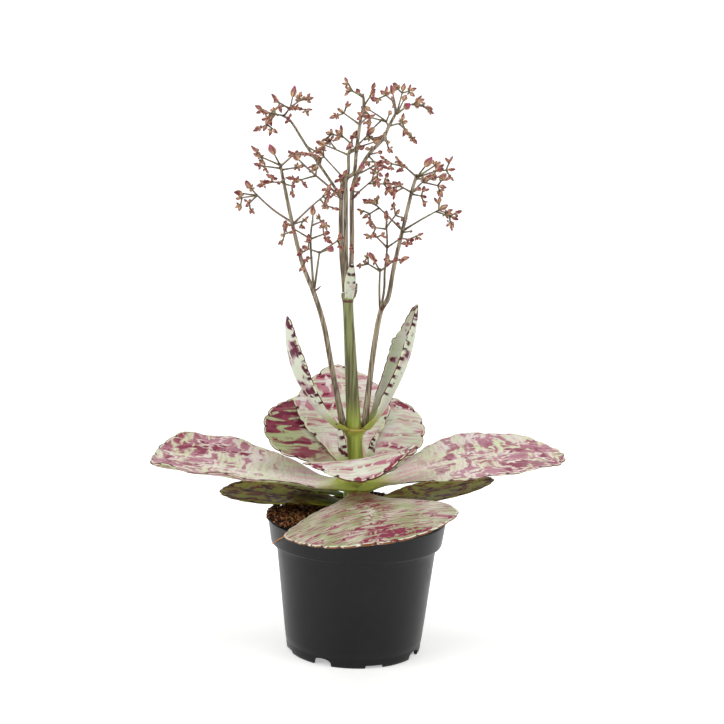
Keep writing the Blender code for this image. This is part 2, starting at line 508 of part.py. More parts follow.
def build_leaf(name, values, slot):
    """Closed blade: matching triangles on the upper and the lower face, and a rim between them."""
    leaf = Leaf(**values)
    fine = leaf.rows()
    coarse = fine[::3]
    last = len(coarse) - 1
    columns = (-0.55, 0.0, 0.55)
    inner_s = np.repeat(coarse, 3)
    inner_t = np.tile(columns, len(coarse))
    end = inner_s == coarse[-1]
    inner_s = np.where(end, coarse[-1] + (1 - coarse[-1]) * (1 - inner_t ** 2), inner_s)
    edge_s = np.tile(fine, 2)
    edge_t = np.repeat([-1.0, 1.0], len(fine))
    s = np.concatenate([inner_s, edge_s])
    t = np.concatenate([inner_t, edge_t])
    middle = leaf.surface(s, t)
    focus = leaf.surface(leaf.widest, 0.0)
    notched = np.tile(np.arange(len(fine)) % 3 == 0, 2) & (edge_s > 0.3)
    notch = np.concatenate([np.zeros(len(inner_s)), np.where(notched, leaf.depth, 0.0)])
    towards = focus - middle
    towards /= np.linalg.norm(towards, axis=1, keepdims=True)
    middle = middle + towards * notch[:, None]
    offset = leaf.normal(s, t) * leaf.thickness(s, t)[:, None] / 2
    half = len(s)
    points = np.concatenate([middle + offset, middle - offset])
    at_stem = np.tile(s <= 0.0, 2)
    points[at_stem] = on_collar(points[at_stem], leaf)

    def inner(row, column):
        return row * 3 + column

    def edge(row, side):
        return len(inner_s) + (0 if side < 0 else len(fine)) + row

    upper = []
    for row in range(last):
        for column in (0, 1):
            a, b = inner(row, column), inner(row, column + 1)
            c, d = inner(row + 1, column + 1), inner(row + 1, column)
            upper += [(a, b, c), (a, c, d)] if column else [(a, b, d), (b, c, d)]
        for side, column in ((-1, 0), (1, 2)):
            a, b = inner(row, column), inner(row + 1, column)
            e = [edge(3 * row + k, side) for k in range(4)]
            strip = [(a, e[0], e[1]), (a, e[1], e[2]), (a, e[2], b), (b, e[2], e[3])]
            upper += strip if side < 0 else [tuple(reversed(f)) for f in strip]
    lower = [tuple(half + k for k in reversed(face)) for face in upper]
    outline = [edge(k, -1) for k in range(len(fine))] + [inner(last, k) for k in range(3)]
    outline += [edge(k, 1) for k in reversed(range(len(fine)))] + [inner(0, k) for k in (2, 1, 0)]
    rim = []
    for a, b in zip(outline, outline[1:] + outline[:1]):
        rim += [(a, b, half + b), (a, half + b, half + a)]
    return make_object(name, points, upper + lower + rim, slot, smooth_angle=60)


def on_collar(points, leaf):
    """Moves the points of a leaf's end face level with the stem's surface, one clearance off it."""
    centre = np.stack([stem_x(points[:, 2]), np.zeros(len(points))], 1)
    flat = points[:, :2] - centre
    quarter = math.asin(leaf.base / 2 / leaf.at) / 2      # angle that one of the four end facets spans
    flat *= (leaf.at + GAP) / math.cos(quarter / 2) / np.linalg.norm(flat, axis=1, keepdims=True)
    return np.column_stack([centre + flat, points[:, 2]])


def frame_at(direction):
    """Two unit vectors square to a direction."""
    along = Vector(direction).normalized()
    helper = Vector((0, 0, 1)) if abs(along.z) < 0.9 else Vector((1, 0, 0))
    first = along.cross(helper).normalized()
    return first, along.cross(first)


def tube(name, route, radii, sides, collection, twist=0.3, flat=1.0):
    """Closed tube along a route, with a radius at each point. flat under 1 presses its section."""
    route = [Vector(p) for p in route]
    points, rings = [], []
    first, _ = frame_at(route[1] - route[0])
    for k, place in enumerate(route):
        before, after = route[max(k - 1, 0)], route[min(k + 1, len(route) - 1)]
        along = (after - before).normalized()
        first = (first - along * first.dot(along)).normalized()    # carried along the route without twisting
        second = along.cross(first)
        if radii[k] == 0.0:
            rings.append([len(points)])
            points.append(tuple(place))
            continue
        rings.append(list(range(len(points), len(points) + sides)))
        for j in range(sides):
            turn = 2 * math.pi * j / sides + twist
            arm = first * math.cos(turn) * radii[k] + second * math.sin(turn) * radii[k] * flat
            points.append(tuple(place + arm))
    faces = join_rings(rings, sides)
    faces += [tuple(ring) for ring in (rings[0], rings[-1]) if len(ring) > 1]
    return make_object(name, points, faces, collection=collection)


def turned_away(direction, angle, spin):
    """The direction leaned away by an angle, towards the side that spin (degrees) picks."""
    first, second = frame_at(direction)
    axis = first * math.cos(math.radians(spin)) + second * math.sin(math.radians(spin))
    return Matrix.Rotation(math.radians(angle), 3, axis) @ Vector(direction).normalized()


def add_shoot(route, size, draw, collection):
    """A stalk along the route that ends in a closed four-sided bud, all one body."""
    route = [Vector(p) for p in route]
    heading = (route[-1] - route[-2]).normalized()
    length = size * draw.uniform(0.9, 1.05)
    girth = length * BUD_GIRTH * draw.uniform(0.92, 1.08)
    radii = [STALK_RADIUS[0] * draw.uniform(0.9, 1.1)] + [STALK_RADIUS[1]] * (len(route) - 1) + [girth, 0.0]
    route[0] = route[0] + Vector([draw.uniform(-ROOT_SCATTER, ROOT_SCATTER) for _ in range(3)])
    route += [route[-1] + heading * 0.48 * length, route[-1] + heading * length]
    sides = 4 if size >= SMALL_BUD else 3
    tube("shoot", route, radii, sides, collection, twist=draw.uniform(0, 1.5))


def add_cyme(route, buds, size, reach, draw, collection):
    """A forking group: one bud ends the shoot and the others are shared between two side shoots."""
    fork = Vector(route[-1])
    heading = (fork - Vector(route[-2])).normalized()
    add_shoot(list(route[:-1]) + [fork + heading * 1.2], size, draw, collection)
    rest = buds - 1
    spin = draw.uniform(0, 180)
    for k, share in enumerate((math.ceil(rest / 2), rest // 2)):
        if share == 0:
            continue
        away = turned_away(heading, draw.uniform(42, 68), spin + 180 * k + draw.uniform(-20, 20))
        small = size * draw.uniform(0.72, 0.9)
        stalk = reach * (draw.uniform(0.35, 0.6) if share == 1 else draw.uniform(0.8, 1.05))
        side = [fork - away * 0.3, fork + away * stalk]
        if share == 1:
            add_shoot(side, small, draw, collection)
        else:
            add_cyme(side, share, small, reach * 0.72, draw, collection)


def build_spray(name, stems, arms, bracts, seed):
    """One spray: its stems, arms, bracts and forking groups of buds, joined into a single body."""
    draw = random.Random(seed)
    parts = bpy.data.collections.new(name + "_parts")
    bpy.context.scene.collection.children.link(parts)
    for k, (route, thick, thin) in enumerate(stems):
        radii = list(np.interp(np.linspace(0, 1, len(route)), [0, 1], [thick, thin]))
        tube("stem", route, radii, 6 if k == 0 else 5, parts, twist=0.1 + 0.37 * k)
    for route, buds, size in arms:
        count = max(1, round(buds * BUD_SHARE))
        add_cyme(route, count, size, 6.0, draw, parts)
    for start, end, width in bracts:
        middle = (Vector(start) + Vector(end)) / 2
        tube("bract", [start, middle, end], [0.6, width / 2, 0.3], 4, parts, twist=0.0, flat=0.5)
    pieces = list(parts.objects)
    spray = pieces.pop(0)
    parts.objects.unlink(spray)
    bpy.context.scene.collection.objects.link(spray)
    spray.name = name
    apply_boolean(spray, "UNION", collection=parts)
    for piece in pieces:
        bpy.data.objects.remove(piece, do_unlink=True)
    bpy.data.collections.remove(parts)
    spray.data.name = name
    spray.data.materials.clear()
    spray.data.materials.append(bpy.data.materials.get("spray_buds") or make_material("spray_buds"))
    return spray


def main():
    clear_scene()
    build_pot()
    build_soil()
    build_stem()
    slots = {name: slot for slot, names in LEAF_SLOTS.items() for name in names}
    for name, values in LEAVES.items():
        build_leaf(name, values, slots.get(name, "leaf_spotted"))
    build_spray("spray_left", LEFT_STEMS, LEFT_ARMS, LEFT_BRACTS, seed=9)
    build_spray("spray_right", RIGHT_STEMS, RIGHT_ARMS, RIGHT_BRACTS, seed=16)
    build_spray("spray_centre", CENTRE_STEMS, CENTRE_ARMS, CENTRE_BRACTS, seed=48)


main()
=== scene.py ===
# %% [markdown]
# # Potted kalanchoe
# A flowering kalanchoe in a black nursery pot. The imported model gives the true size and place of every
# piece. This script keeps those and works out the fine surfaces: thin leaves with scalloped margins,
# branching sprays with every bud, crumbly soil and a moulded pot. All shapes are computed in millimetres
# as numpy arrays and are turned into metres when they become meshes.

# %% Load the frame
import math
import random

import bpy
import numpy as np
from mathutils import Matrix


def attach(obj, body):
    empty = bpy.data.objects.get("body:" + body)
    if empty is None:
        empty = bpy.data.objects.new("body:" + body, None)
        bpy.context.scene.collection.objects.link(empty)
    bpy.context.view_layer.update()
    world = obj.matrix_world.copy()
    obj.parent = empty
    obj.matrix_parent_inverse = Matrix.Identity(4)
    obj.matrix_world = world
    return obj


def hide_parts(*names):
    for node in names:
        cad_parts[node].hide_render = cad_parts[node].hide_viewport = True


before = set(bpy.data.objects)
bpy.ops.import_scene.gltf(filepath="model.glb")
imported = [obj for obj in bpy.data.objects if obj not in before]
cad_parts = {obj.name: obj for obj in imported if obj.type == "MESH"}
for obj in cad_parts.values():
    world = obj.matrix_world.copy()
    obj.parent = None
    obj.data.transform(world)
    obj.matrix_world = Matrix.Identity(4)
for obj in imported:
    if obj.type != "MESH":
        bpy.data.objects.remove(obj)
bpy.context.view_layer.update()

MM = 0.001
print("frame:", len(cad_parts), "nodes")

# %% [markdown]
# ## From arrays to meshes
# Every new piece is a grid of points: rows along it and columns round it. One helper lists the faces of
# such a grid and one puts arrays into a mesh with foreach_set, which is far quicker than a Python loop
# over vertices. Numbers that a material needs, such as the distance to a leaf's margin, travel with the
# mesh as named attributes.

# %% Grid helpers
def around(count):
    """Angles of a full turn in even steps, without the last one, which would meet the first."""
    return np.linspace(0, 2 * math.pi, count, endpoint=False)


def on_ring(radius, turn, z):
    """Points at a radius, an angle and a height about the z axis, each an array or a number."""
    return np.stack(np.broadcast_arrays(radius * np.cos(turn), radius * np.sin(turn), z), -1)


def closed_faces(rows, columns, first=0):
    """Quads of a grid whose columns meet all the way round, and triangles to a pole point at each end."""
    start, end = first, first + 1 + rows * columns
    ring = np.arange(columns) + first + 1
    after = np.roll(ring, -1)
    row = np.arange(rows - 1)[:, None] * columns
    corners = [row + ring, row + after, row + after + columns, row + ring + columns]
    last = (rows - 1) * columns
    near = np.stack([np.full(columns, start), after, ring], -1)
    far = np.stack([np.full(columns, end), ring + last, after + last], -1)
    return np.stack(corners, -1).reshape(-1, 4), np.concatenate([near, far])


print("faces of a closed grid of 2 rows and 3 columns:", sum(map(len, closed_faces(2, 3))))

# %% Mesh helpers
def put_mesh(name, points, quads, tris, attributes=None, material=None):
    """Makes an object from points in millimetres (n, 3), quads (m, 4) and triangles (k, 3)."""
    mesh = bpy.data.meshes.new(name)
    mesh.vertices.add(len(points))
    mesh.vertices.foreach_set("co", (np.asarray(points, float) * MM).ravel())
    corners = np.concatenate([quads.ravel(), tris.ravel()])
    mesh.loops.add(len(corners))
    mesh.loops.foreach_set("vertex_index", corners)
    mesh.polygons.add(len(quads) + len(tris))
    starts = np.concatenate([np.arange(len(quads)) * 4, len(quads) * 4 + np.arange(len(tris)) * 3])
    mesh.polygons.foreach_set("loop_start", starts)
    mesh.update(calc_edges=True)
    mesh.polygons.foreach_set("use_smooth", np.ones(len(mesh.polygons), bool))
    for key, values in (attributes or {}).items():
        values = np.asarray(values, float)
        vector = values.ndim == 2
        layer = mesh.attributes.new(key, "FLOAT_VECTOR" if vector else "FLOAT", "POINT")
        layer.data.foreach_set("vector" if vector else "value", values.ravel())
    if material:
        mesh.materials.append(material)
    mesh.validate()
    piece = bpy.data.objects.new(name, mesh)
    bpy.context.scene.collection.objects.link(piece)
    return piece


def finish_piece(piece, slot, *nodes):
    """Lets the piece ride on the part's one body and hides the nodes that it stands for. slot is not used.
    """
    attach(piece, "root")
    if nodes:
        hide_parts(*nodes)
    print(f"{piece.name}: {len(piece.data.polygons)} faces")


def smoothstep(values, low, high):
    """0 below low, 1 above high, and 3 x squared minus 2 x cubed between them."""
    x = np.clip((values - low) / (high - low), 0, 1)
    return x * x * (3 - 2 * x)

# %% [markdown]
# ## Building materials from nodes
# A finish is a Principled shader fed by patterns. One small function adds any node, sets its values and
# links its inputs. Every pattern is a recipe, a list of steps such as noise, step and mix, in which each
# step names its result and works on earlier results, on numbers or on colours. Colours are written as
# the sRGB hex values that a picture shows, and one function turns them into the linear values that
# Blender's shader works with.

# %% Kinds of step
# Each kind of step: its node, the node's settings, the inputs that take the terms, and the output.
# STEP rises smoothly and RAMP evenly, from 0 to 1 or between the fourth and fifth terms, while the first
# term goes from the second to the third. MIX lays its third term over its second by the share of its first.
KINDS = {
    "PLACE": ("ShaderNodeTexCoord", None, (), "Object"),
    "HEIGHT": ("ShaderNodeSeparateXYZ", None, (0,), "Z"),
    "SCALE": ("ShaderNodeMapping", None, ("Vector", "Scale"), 0),
    "NOISE": ("ShaderNodeTexNoise", None, ("Vector", "Scale", "Detail", "Roughness"), "Fac"),
    "NOISES": ("ShaderNodeTexNoise", None, ("Vector", "Scale", "Detail"), "Color"),
    "SHIFT": ("ShaderNodeVectorMath", {"operation": "MULTIPLY_ADD"}, (0, 1, 2), 0),
    "STEP": ("ShaderNodeMapRange", {"interpolation_type": "SMOOTHSTEP"}, (0, 1, 2, 3, 4), 0),
    "RAMP": ("ShaderNodeMapRange", None, (0, 1, 2, 3, 4), 0),
    "MIX": ("ShaderNodeMix", {"data_type": "RGBA"}, (0, 6, 7), 2),
    "RELIEF": ("ShaderNodeBump", None, ("Height", "Strength", "Distance"), "Normal"),
}
print("kinds of step:", ", ".join(KINDS))

# %% Material helpers
def linear(hex_colour):
    """sRGB hex to linear: channel over 12.92 near black, and a power of 2.4 above."""
    channels = [int(hex_colour[i:i + 2], 16) / 255 for i in (1, 3, 5)]
    return [c / 12.92 if c <= 0.04045 else ((c + 0.055) / 1.055) ** 2.4 for c in channels] + [1.0]


def add(material, kind, settings=None, inputs=None):
    """Adds a node with its settings. An input takes a number, a hex colour or another node's output."""
    node = material.node_tree.nodes.new(kind)
    for key, value in (settings or {}).items():
        setattr(node, key, value)
    for key, value in (inputs or {}).items():
        if isinstance(value, bpy.types.NodeSocket):
            material.node_tree.links.new(value, node.inputs[key])
        else:
            node.inputs[key].default_value = linear(value) if isinstance(value, str) else value
    return node


def new_material(name, constants, recipe, readings=()):
    """A Principled material: constants on the shader's own sockets, and a recipe linked to some of them.

    The readings are mesh attributes: places where the name ends in _mm, numbers otherwise. A kind of step
    that isn't in the table is an operation of the Math node. Results named Base Color, Roughness and Normal
    are linked to the shader.
    """
    material = bpy.data.materials.new(name)
    material.use_nodes = True
    shader = material.node_tree.nodes["Principled BSDF"]
    for key, value in constants.items():
        shader.inputs[key].default_value = linear(value) if isinstance(value, str) else value
    known = {}
    for key in readings:
        reading = add(material, "ShaderNodeAttribute", {"attribute_name": key})
        known[key] = reading.outputs["Vector" if key.endswith("_mm") else "Fac"]
    for key, kind, *terms in recipe:
        arithmetic = ("ShaderNodeMath", {"operation": kind}, (0, 1, 2), 0)
        node_type, settings, inputs, output = KINDS.get(kind, arithmetic)
        values = dict(zip(inputs, [known.get(term, term) for term in terms]))
        known[key] = add(material, node_type, settings, values).outputs[output]
    for key in ("Base Color", "Roughness", "Normal"):
        if key in known:
            material.node_tree.links.new(known[key], shader.inputs[key])
    return material


print("middle grey is", round(linear("#808080")[0], 3), "in linear light")

# %% [markdown]
# ## Camera
# The photograph was taken from a little above the leaves, nine tenths of a metre away, with the camera
# tilted slightly to one side. The camera could be aimed by a constraint. Setting its world matrix from a
# place and two angles says the same in numbers that can be fitted to the photograph.

# %% Camera
CAMERA_PLACE = (0.0, -0.9, 0.315)
CAMERA_PITCH = math.radians(90 - 7.53)
CAMERA_ROLL = math.radians(1.78)
FOCAL_PIXELS, FRAME_PIXELS, SENSOR = 1363, 724, 36.0

camera_data = bpy.data.cameras.new("camera")
camera_data.sensor_width = SENSOR
camera_data.lens = FOCAL_PIXELS / FRAME_PIXELS * SENSOR
camera = bpy.data.objects.new("camera", camera_data)
turn = Matrix.Rotation(CAMERA_PITCH, 4, "X") @ Matrix.Rotation(CAMERA_ROLL, 4, "Z")
camera.matrix_world = Matrix.Translation(CAMERA_PLACE) @ turn
bpy.context.scene.collection.objects.link(camera)
bpy.context.scene.camera = camera
print("lens", round(camera_data.lens, 2), "mm")

# %% [markdown]
# ## Light and floor
# Large soft lights stand at both sides and above, as in a product studio, and the floor sweeps up into a
# pale backdrop that is lit from behind, so that the plant throws only a faint soft shadow. A picture of a
# studio could light the scene too, but three lights can be moved and dimmed one by one.

# %% Lights and backdrop
SKY_COLOUR, SKY_STRENGTH = (0.95, 0.97, 1.0, 1.0), 0.36
FLOOR_FRONT, FLOOR_BACK, FLOOR_HALF_WIDTH = -2500, 1200, 3000.0
BEND_RADIUS, BACKDROP_TOP = 600, 3000


def area_light(name, place, target, size, power):
    """A soft square light at a place, turned to face a target."""
    data = bpy.data.lights.new(name, "AREA")
    data.shape, data.size, data.energy = "SQUARE", size, power
    light = bpy.data.objects.new(name, data)
    light.location = place
    x, y, z = np.array(target) - np.array(place)
    light.rotation_euler = (math.pi / 2 + math.atan2(z, math.hypot(x, y)), 0, math.atan2(y, x) - math.pi / 2)
    bpy.context.scene.collection.objects.link(light)


area_light("left_softbox", (-1.1, -0.7, 0.9), (0, 0, 0.15), 0.9, 8.8)
area_light("right_softbox", (1.2, -0.5, 0.8), (0, 0, 0.15), 0.9, 7)
area_light("top_softbox", (0.0, -0.1, 1.5), (0, 0, 0.1), 1.1, 6.2)

world = bpy.data.worlds.new("studio")
world.use_nodes = True
sky = world.node_tree.nodes["Background"].inputs
sky["Color"].default_value, sky["Strength"].default_value = SKY_COLOUR, SKY_STRENGTH
bpy.context.scene.world = world
bpy.context.scene.view_settings.view_transform = "Standard"


def build_backdrop(material):
    """A floor that turns up behind through a quarter circle: sideways straight, in depth a bent profile."""
    corner = np.linspace(0, math.pi / 2, 12)
    depth = np.concatenate([[FLOOR_FRONT], FLOOR_BACK + BEND_RADIUS * np.sin(corner),
                            [FLOOR_BACK + BEND_RADIUS]])
    height = np.concatenate([[0], BEND_RADIUS - BEND_RADIUS * np.cos(corner), [BACKDROP_TOP]])
    sides = np.array([-FLOOR_HALF_WIDTH, FLOOR_HALF_WIDTH])
    x, y = np.meshgrid(sides, depth)
    points = np.stack([x, y, np.repeat(height, 2).reshape(x.shape)], -1).reshape(-1, 3)
    row = np.arange(len(depth) - 1) * 2
    quads = np.stack([row, row + 1, row + 3, row + 2], -1)
    return put_mesh("backdrop", points, quads, np.empty((0, 3), int), material=material)


# Matt paper, lit from behind: an even white with the slightest mottle, on a scale of 300 mm
backdrop_paper = new_material(
    "backdrop_lit_paper", {"Roughness": 0.9, "Emission Color": "#ffffff", "Emission Strength": 0.42},
    [("place", "PLACE"), ("mottle", "NOISE", "place", 3.3),
     ("Base Color", "MIX", "mottle", "#f7f7f7", "#fcfcfc")])
backdrop = build_backdrop(backdrop_paper)
print("backdrop:", len(backdrop.data.polygons), "faces")

# %% [markdown]
# ## A leaf as a surface
# A kalanchoe leaf is a fleshy blade, thick along the middle and at its base, with a scalloped margin.
# Its middle surface has two parameters: s runs from the stem to the tip and t from one margin to the
# other. The midrib is an arc in space, the blade is bent to a shallow trough across it, and a closed
# section is carried along it, so that the upper face, the rounded margin and the lower face are one skin.
# A leaf could also be sculpted. A formula with named values makes them all leaves of one plant, and each
# can be fitted to its place by a few numbers.

# %% Leaf measures and outline
COLLAR_RADIUS, CUP_RADIUS, NODE_RADIUS = 8.7, 9.4, 4.2
STEM_LEAN_FROM, STEM_LEAN = 100.0, -0.078
GAP = 0.3
BASE_THICKNESS, MID_THICKNESS, TIP_THICKNESS, EDGE_THICKNESS = 3.2, 2.4, 1.5, 1.0
# Shares of the leaf's length over which its base settles into the blade's own form
CLASP_END, WRAP_END, HEEL_END, PERCH_END, FOLD_END, ROLL_END = 0.1, 0.12, 0.16, 0.3, 0.25, 0.5
MIDRIB_STEPS = 200
DEFAULTS = dict(roll=0, fold=10, bend=0, base=10, at=COLLAR_RADIUS, scallop=13.0, depth=1.3, wave=0.0,
                perch=0.0, clasp=0.0, heel=0.0, stalk=20.0, grain=1.0, flush=(), mottle=(),
                streaked=1.0, slant=0.0, spot_side=0, rib_and_highlight=(0.6, 0.2))


def stem_x(z):
    """The main stem's axis: straight up, and above STEM_LEAN_FROM sideways by STEM_LEAN a millimetre."""
    return STEM_LEAN * np.clip(np.asarray(z, float) - STEM_LEAN_FROM, 0, None)


def fading(s, end):
    """1 at the stem, falling with the square of the distance to 0 at the share end of the length."""
    return np.clip(1 - s / end, 0, 1) ** 2


def half_width(leaf, s):
    """A sine raised to a power up to the widest place, then the square root of 1 minus a power.

    A clasping leaf is wider again at the stem.
    """
    narrow, wide = leaf["base"] / 2, leaf["width"] / 2
    grown = np.sin(np.clip(s / leaf["widest"], 0, 1) * np.pi / 2) ** (1 + leaf["shoulder"])
    closing = np.clip((s - leaf["widest"]) / (1 - leaf["widest"]), 0, 1)
    closed = np.sqrt(np.clip(1 - closing ** leaf["tip"], 0, 1))
    clasp = leaf["clasp"] * fading(s, CLASP_END)
    return np.where(s < leaf["widest"], narrow + (wide - narrow) * grown + clasp, wide * closed)


print("the stem's axis has moved sideways by", round(float(stem_x(240.0)), 1), "mm at the node")

# %% Midrib
def heading(leaf, s):
    """Unit vectors along the midrib, whose rise and bearing change evenly, and level across it."""
    rise = np.radians(leaf["rise"][0] + (leaf["rise"][1] - leaf["rise"][0]) * s)
    bearing = np.radians(leaf["bearing"] + leaf["bend"] * s)
    along = np.stack([np.cos(rise) * np.cos(bearing), np.cos(rise) * np.sin(bearing), np.sin(rise)], -1)
    return along, np.stack([-np.sin(bearing), np.cos(bearing), np.zeros_like(s)], -1)


def outward(leaf):
    """Level unit vector from the stem's axis to the middle of the leaf's base."""
    bearing = math.radians(leaf["bearing"])
    return np.array([math.cos(bearing), math.sin(bearing), 0.0])


def midrib(leaf, s):
    """Sum of short steps along the leaf's heading; near the stem the perch, in mm, is added."""
    fine = np.linspace(0, 1, MIDRIB_STEPS + 1)
    steps = heading(leaf, fine)[0]
    run = np.cumsum((steps[1:] + steps[:-1]) / 2, 0) * leaf["length"] / MIDRIB_STEPS
    run = np.concatenate([np.zeros((1, 3)), run])
    start = np.array([stem_x(leaf["z"]), 0.0, leaf["z"]]) + outward(leaf) * (leaf["at"] + GAP)
    perch = np.array([0.0, 0.0, 1.0]) * (leaf["perch"] * fading(s, PERCH_END))[..., None]
    return start + np.stack([np.interp(s, fine, run[:, k]) for k in range(3)], -1) + perch


print("a midrib is summed from", MIDRIB_STEPS, "steps")

# %% [markdown]
# ## The blade across its midrib
# Across the midrib the blade follows a circular arc, shallow for the big leaves and nearly shut for the
# young ones. At its base it bends round the stem, which a flat blade bent by a modifier wouldn't do
# cleanly. The normal comes from short steps on the same formula, so the skin can be laid off both ways.

# %% Blade surface, normal and thickness
def blade_surface(leaf, s, t):
    """Midrib plus a circular arc across it, rolled about it, and wrapped round the stem at the base."""
    s, t = np.broadcast_arrays(np.asarray(s, float), np.asarray(t, float))
    along, side = heading(leaf, s)
    lift = np.cross(along, side)
    roll = np.radians(leaf["roll"]) * np.clip(s / ROLL_END, 0, 1)
    turn_c, turn_s = np.cos(roll)[..., None], np.sin(roll)[..., None]
    side, lift = side * turn_c + lift * turn_s, lift * turn_c - side * turn_s
    half = half_width(leaf, s)
    fold = np.radians(leaf["fold"]) * np.clip(s / FOLD_END, 0.35, 1)
    across = half * np.sin(fold * t) / fold
    up = half * (1 - np.cos(fold * t)) / fold
    reach = leaf["at"] + GAP
    wrap = np.clip(1 - s / WRAP_END, 0, 1)
    hug = reach * (1 - np.cos(across / reach)) * wrap
    across = across * (1 - wrap) + reach * np.sin(across / reach) * wrap
    return midrib(leaf, s) + across[..., None] * side + up[..., None] * lift - hug[..., None] * outward(leaf)


def blade_normal(leaf, s, t):
    """Cross product of short steps along and across the blade, which points to the upper face."""
    s, t = np.clip(s, 0.01, 0.985), np.clip(t, -0.96, 0.96)
    ds = blade_surface(leaf, s + 0.008, t) - blade_surface(leaf, s - 0.008, t)
    dt = blade_surface(leaf, s, t + 0.03) - blade_surface(leaf, s, t - 0.03)
    out = np.cross(ds, dt)
    return out / np.linalg.norm(out, axis=-1, keepdims=True)


def blade_thickness(leaf, s, t):
    """Full at the base and the midrib, falling with the power 2.5 of t to the margin's thickness."""
    small = min(1.0, 0.55 + leaf["width"] / 100)
    middle = small * np.interp(s, [0, 0.3, 1], [BASE_THICKNESS, MID_THICKNESS, TIP_THICKNESS])
    return np.maximum(EDGE_THICKNESS, middle + (EDGE_THICKNESS - middle) * np.abs(t) ** 2.5)


print("thickness from base to tip:", BASE_THICKNESS, MID_THICKNESS, TIP_THICKNESS, "mm")

# %% [markdown]
# ## Scallops on the margin
# The margin is cut into round lobes with a narrow notch between them. For each point of the blade the
# nearest point of the flattened outline is found. Its distance says how strongly the point follows the
# margin, and its place along the outline says where in a lobe it lies. The same two numbers later colour
# the margin's pale strip, its thin red line and the dark spot in each notch.

# %% Margin distance and thickness
CUT_DEPTH, GROOVE_DEPTH, GROOVE_WIDTH = 3.0, 0.4, 1.8    # mm: how far a notch and the groove reach
WAVE_LENGTH, WAVE_DEPTH = 41.0, 11.0                     # mm, along the margin and inwards from it
WAVE_PHASE, TIP_ROUNDING = 0.7, 0.5                      # radians, mm
OUTLINE_STEPS = 700
# Shares of the leaf's length over which the scallops, the wave and the groove begin
SCALLOP_START, WAVE_START, GROOVE_START = (0.2, 0.35), (0.3, 0.6), (0.05, 0.2)


def margin_map(leaf, s, t):
    """Three numbers for each point: mm to the outline, how near a notch, and mm along the outline.

    The second is 1 at each notch and falls to 0 at the middle of each lobe.
    """
    fine = np.sin(np.linspace(0, math.pi / 2, OUTLINE_STEPS))
    outline = np.stack([fine * leaf["length"], half_width(leaf, fine)], -1)
    run = np.concatenate([[0], np.cumsum(np.linalg.norm(np.diff(outline, axis=0), axis=1))])
    place = np.stack([s * leaf["length"], np.abs(t) * half_width(leaf, s)], -1)
    gaps = np.hypot(place[:, None, 0] - outline[None, :, 0], place[:, None, 1] - outline[None, :, 1])
    nearest = gaps.argmin(1)
    lobes = max(4, round(run[-1] / leaf["scallop"]))
    pitch = run[-1] * (1 - 0.35 / lobes) / lobes
    notch = (1 - np.abs(np.sin(np.pi * run[nearest] / pitch))) ** 1.6
    return gaps.min(1), notch * smoothstep(s, *SCALLOP_START), run[nearest]


def on_collar(points, leaf):
    """The leaf's end face lies on a cylinder round the stem, one clearance off its surface."""
    centre = np.stack([stem_x(points[:, 2]), np.zeros(len(points))], 1)
    flat = points[:, :2] - centre
    flat = flat * ((leaf["at"] + GAP) / np.linalg.norm(flat, axis=1, keepdims=True))
    return np.column_stack([centre + flat, points[:, 2]])


def leaf_lift(leaf, s, t, upper, margin, run):
    """How far the skin lies off the middle surface: half the thickness, rounded at the margin and tip.

    The margin's slow wave, the groove along the midrib and a clasping leaf's heel are added.
    """
    half = half_width(leaf, s)
    ripple = leaf["wave"] * np.sin(2 * np.pi * run / WAVE_LENGTH + WAVE_PHASE) * np.exp(-margin / WAVE_DEPTH)
    ripple = ripple * smoothstep(s, *WAVE_START)
    groove = GROOVE_DEPTH * np.exp(-(t * half / GROOVE_WIDTH) ** 2) * (1 - s) * smoothstep(s, *GROOVE_START)
    rounding = np.sqrt(np.clip(1 - np.abs(t) ** np.maximum(4.0, 1.4 * half), 0, 1))
    tip_gap = np.clip((1 - s) * leaf["length"] / TIP_ROUNDING, 0, 1)
    body = blade_thickness(leaf, s, t) / 2 * rounding * np.sqrt(tip_gap * (2 - tip_gap))
    heel = leaf["heel"] * fading(s, HEEL_END) * rounding * (upper > 0)
    return np.sign(upper) * body + ripple - groove + heel

# %% [markdown]
# ## The leaf's mesh and what its skin needs to know
# The skin is built in one go: a ring of points round the blade for each row from stem to tip, pushed off
# the middle surface, drawn in at the notches, and closed by a point at each end. A shader can't know where
# on a leaf it is, so every point also carries its flattened place in mm, its distance to the margin, how
# near a notch it is, and the soft spots that raise or lower the pigment there.

# %% Leaf mesh
UNDERSIDE_OFFSET = 60.0                       # mm between the patterns of the two faces
STALK_CLEARANCE, FAINT_SPOTS = 4.0, 0.2       # mm added to the margin's distance, share on the other side
RIB_AND_HIGHLIGHT_STRENGTH, RIB_AND_HIGHLIGHT_WIDTH, STREAK_END = 0.7, 1.1, (0.22, 0.42)    # share, mm, shares of the length


def soft_spots(spots, s, t):
    """Sum of soft spots: strength times a bell of the distance in s and t, each over its own radius."""
    total = np.zeros(len(s))
    for s0, t0, reach_s, reach_t, strength in spots:
        total += strength * np.exp(-((s - s0) / reach_s) ** 2 - ((t - t0) / reach_t) ** 2)
    return total


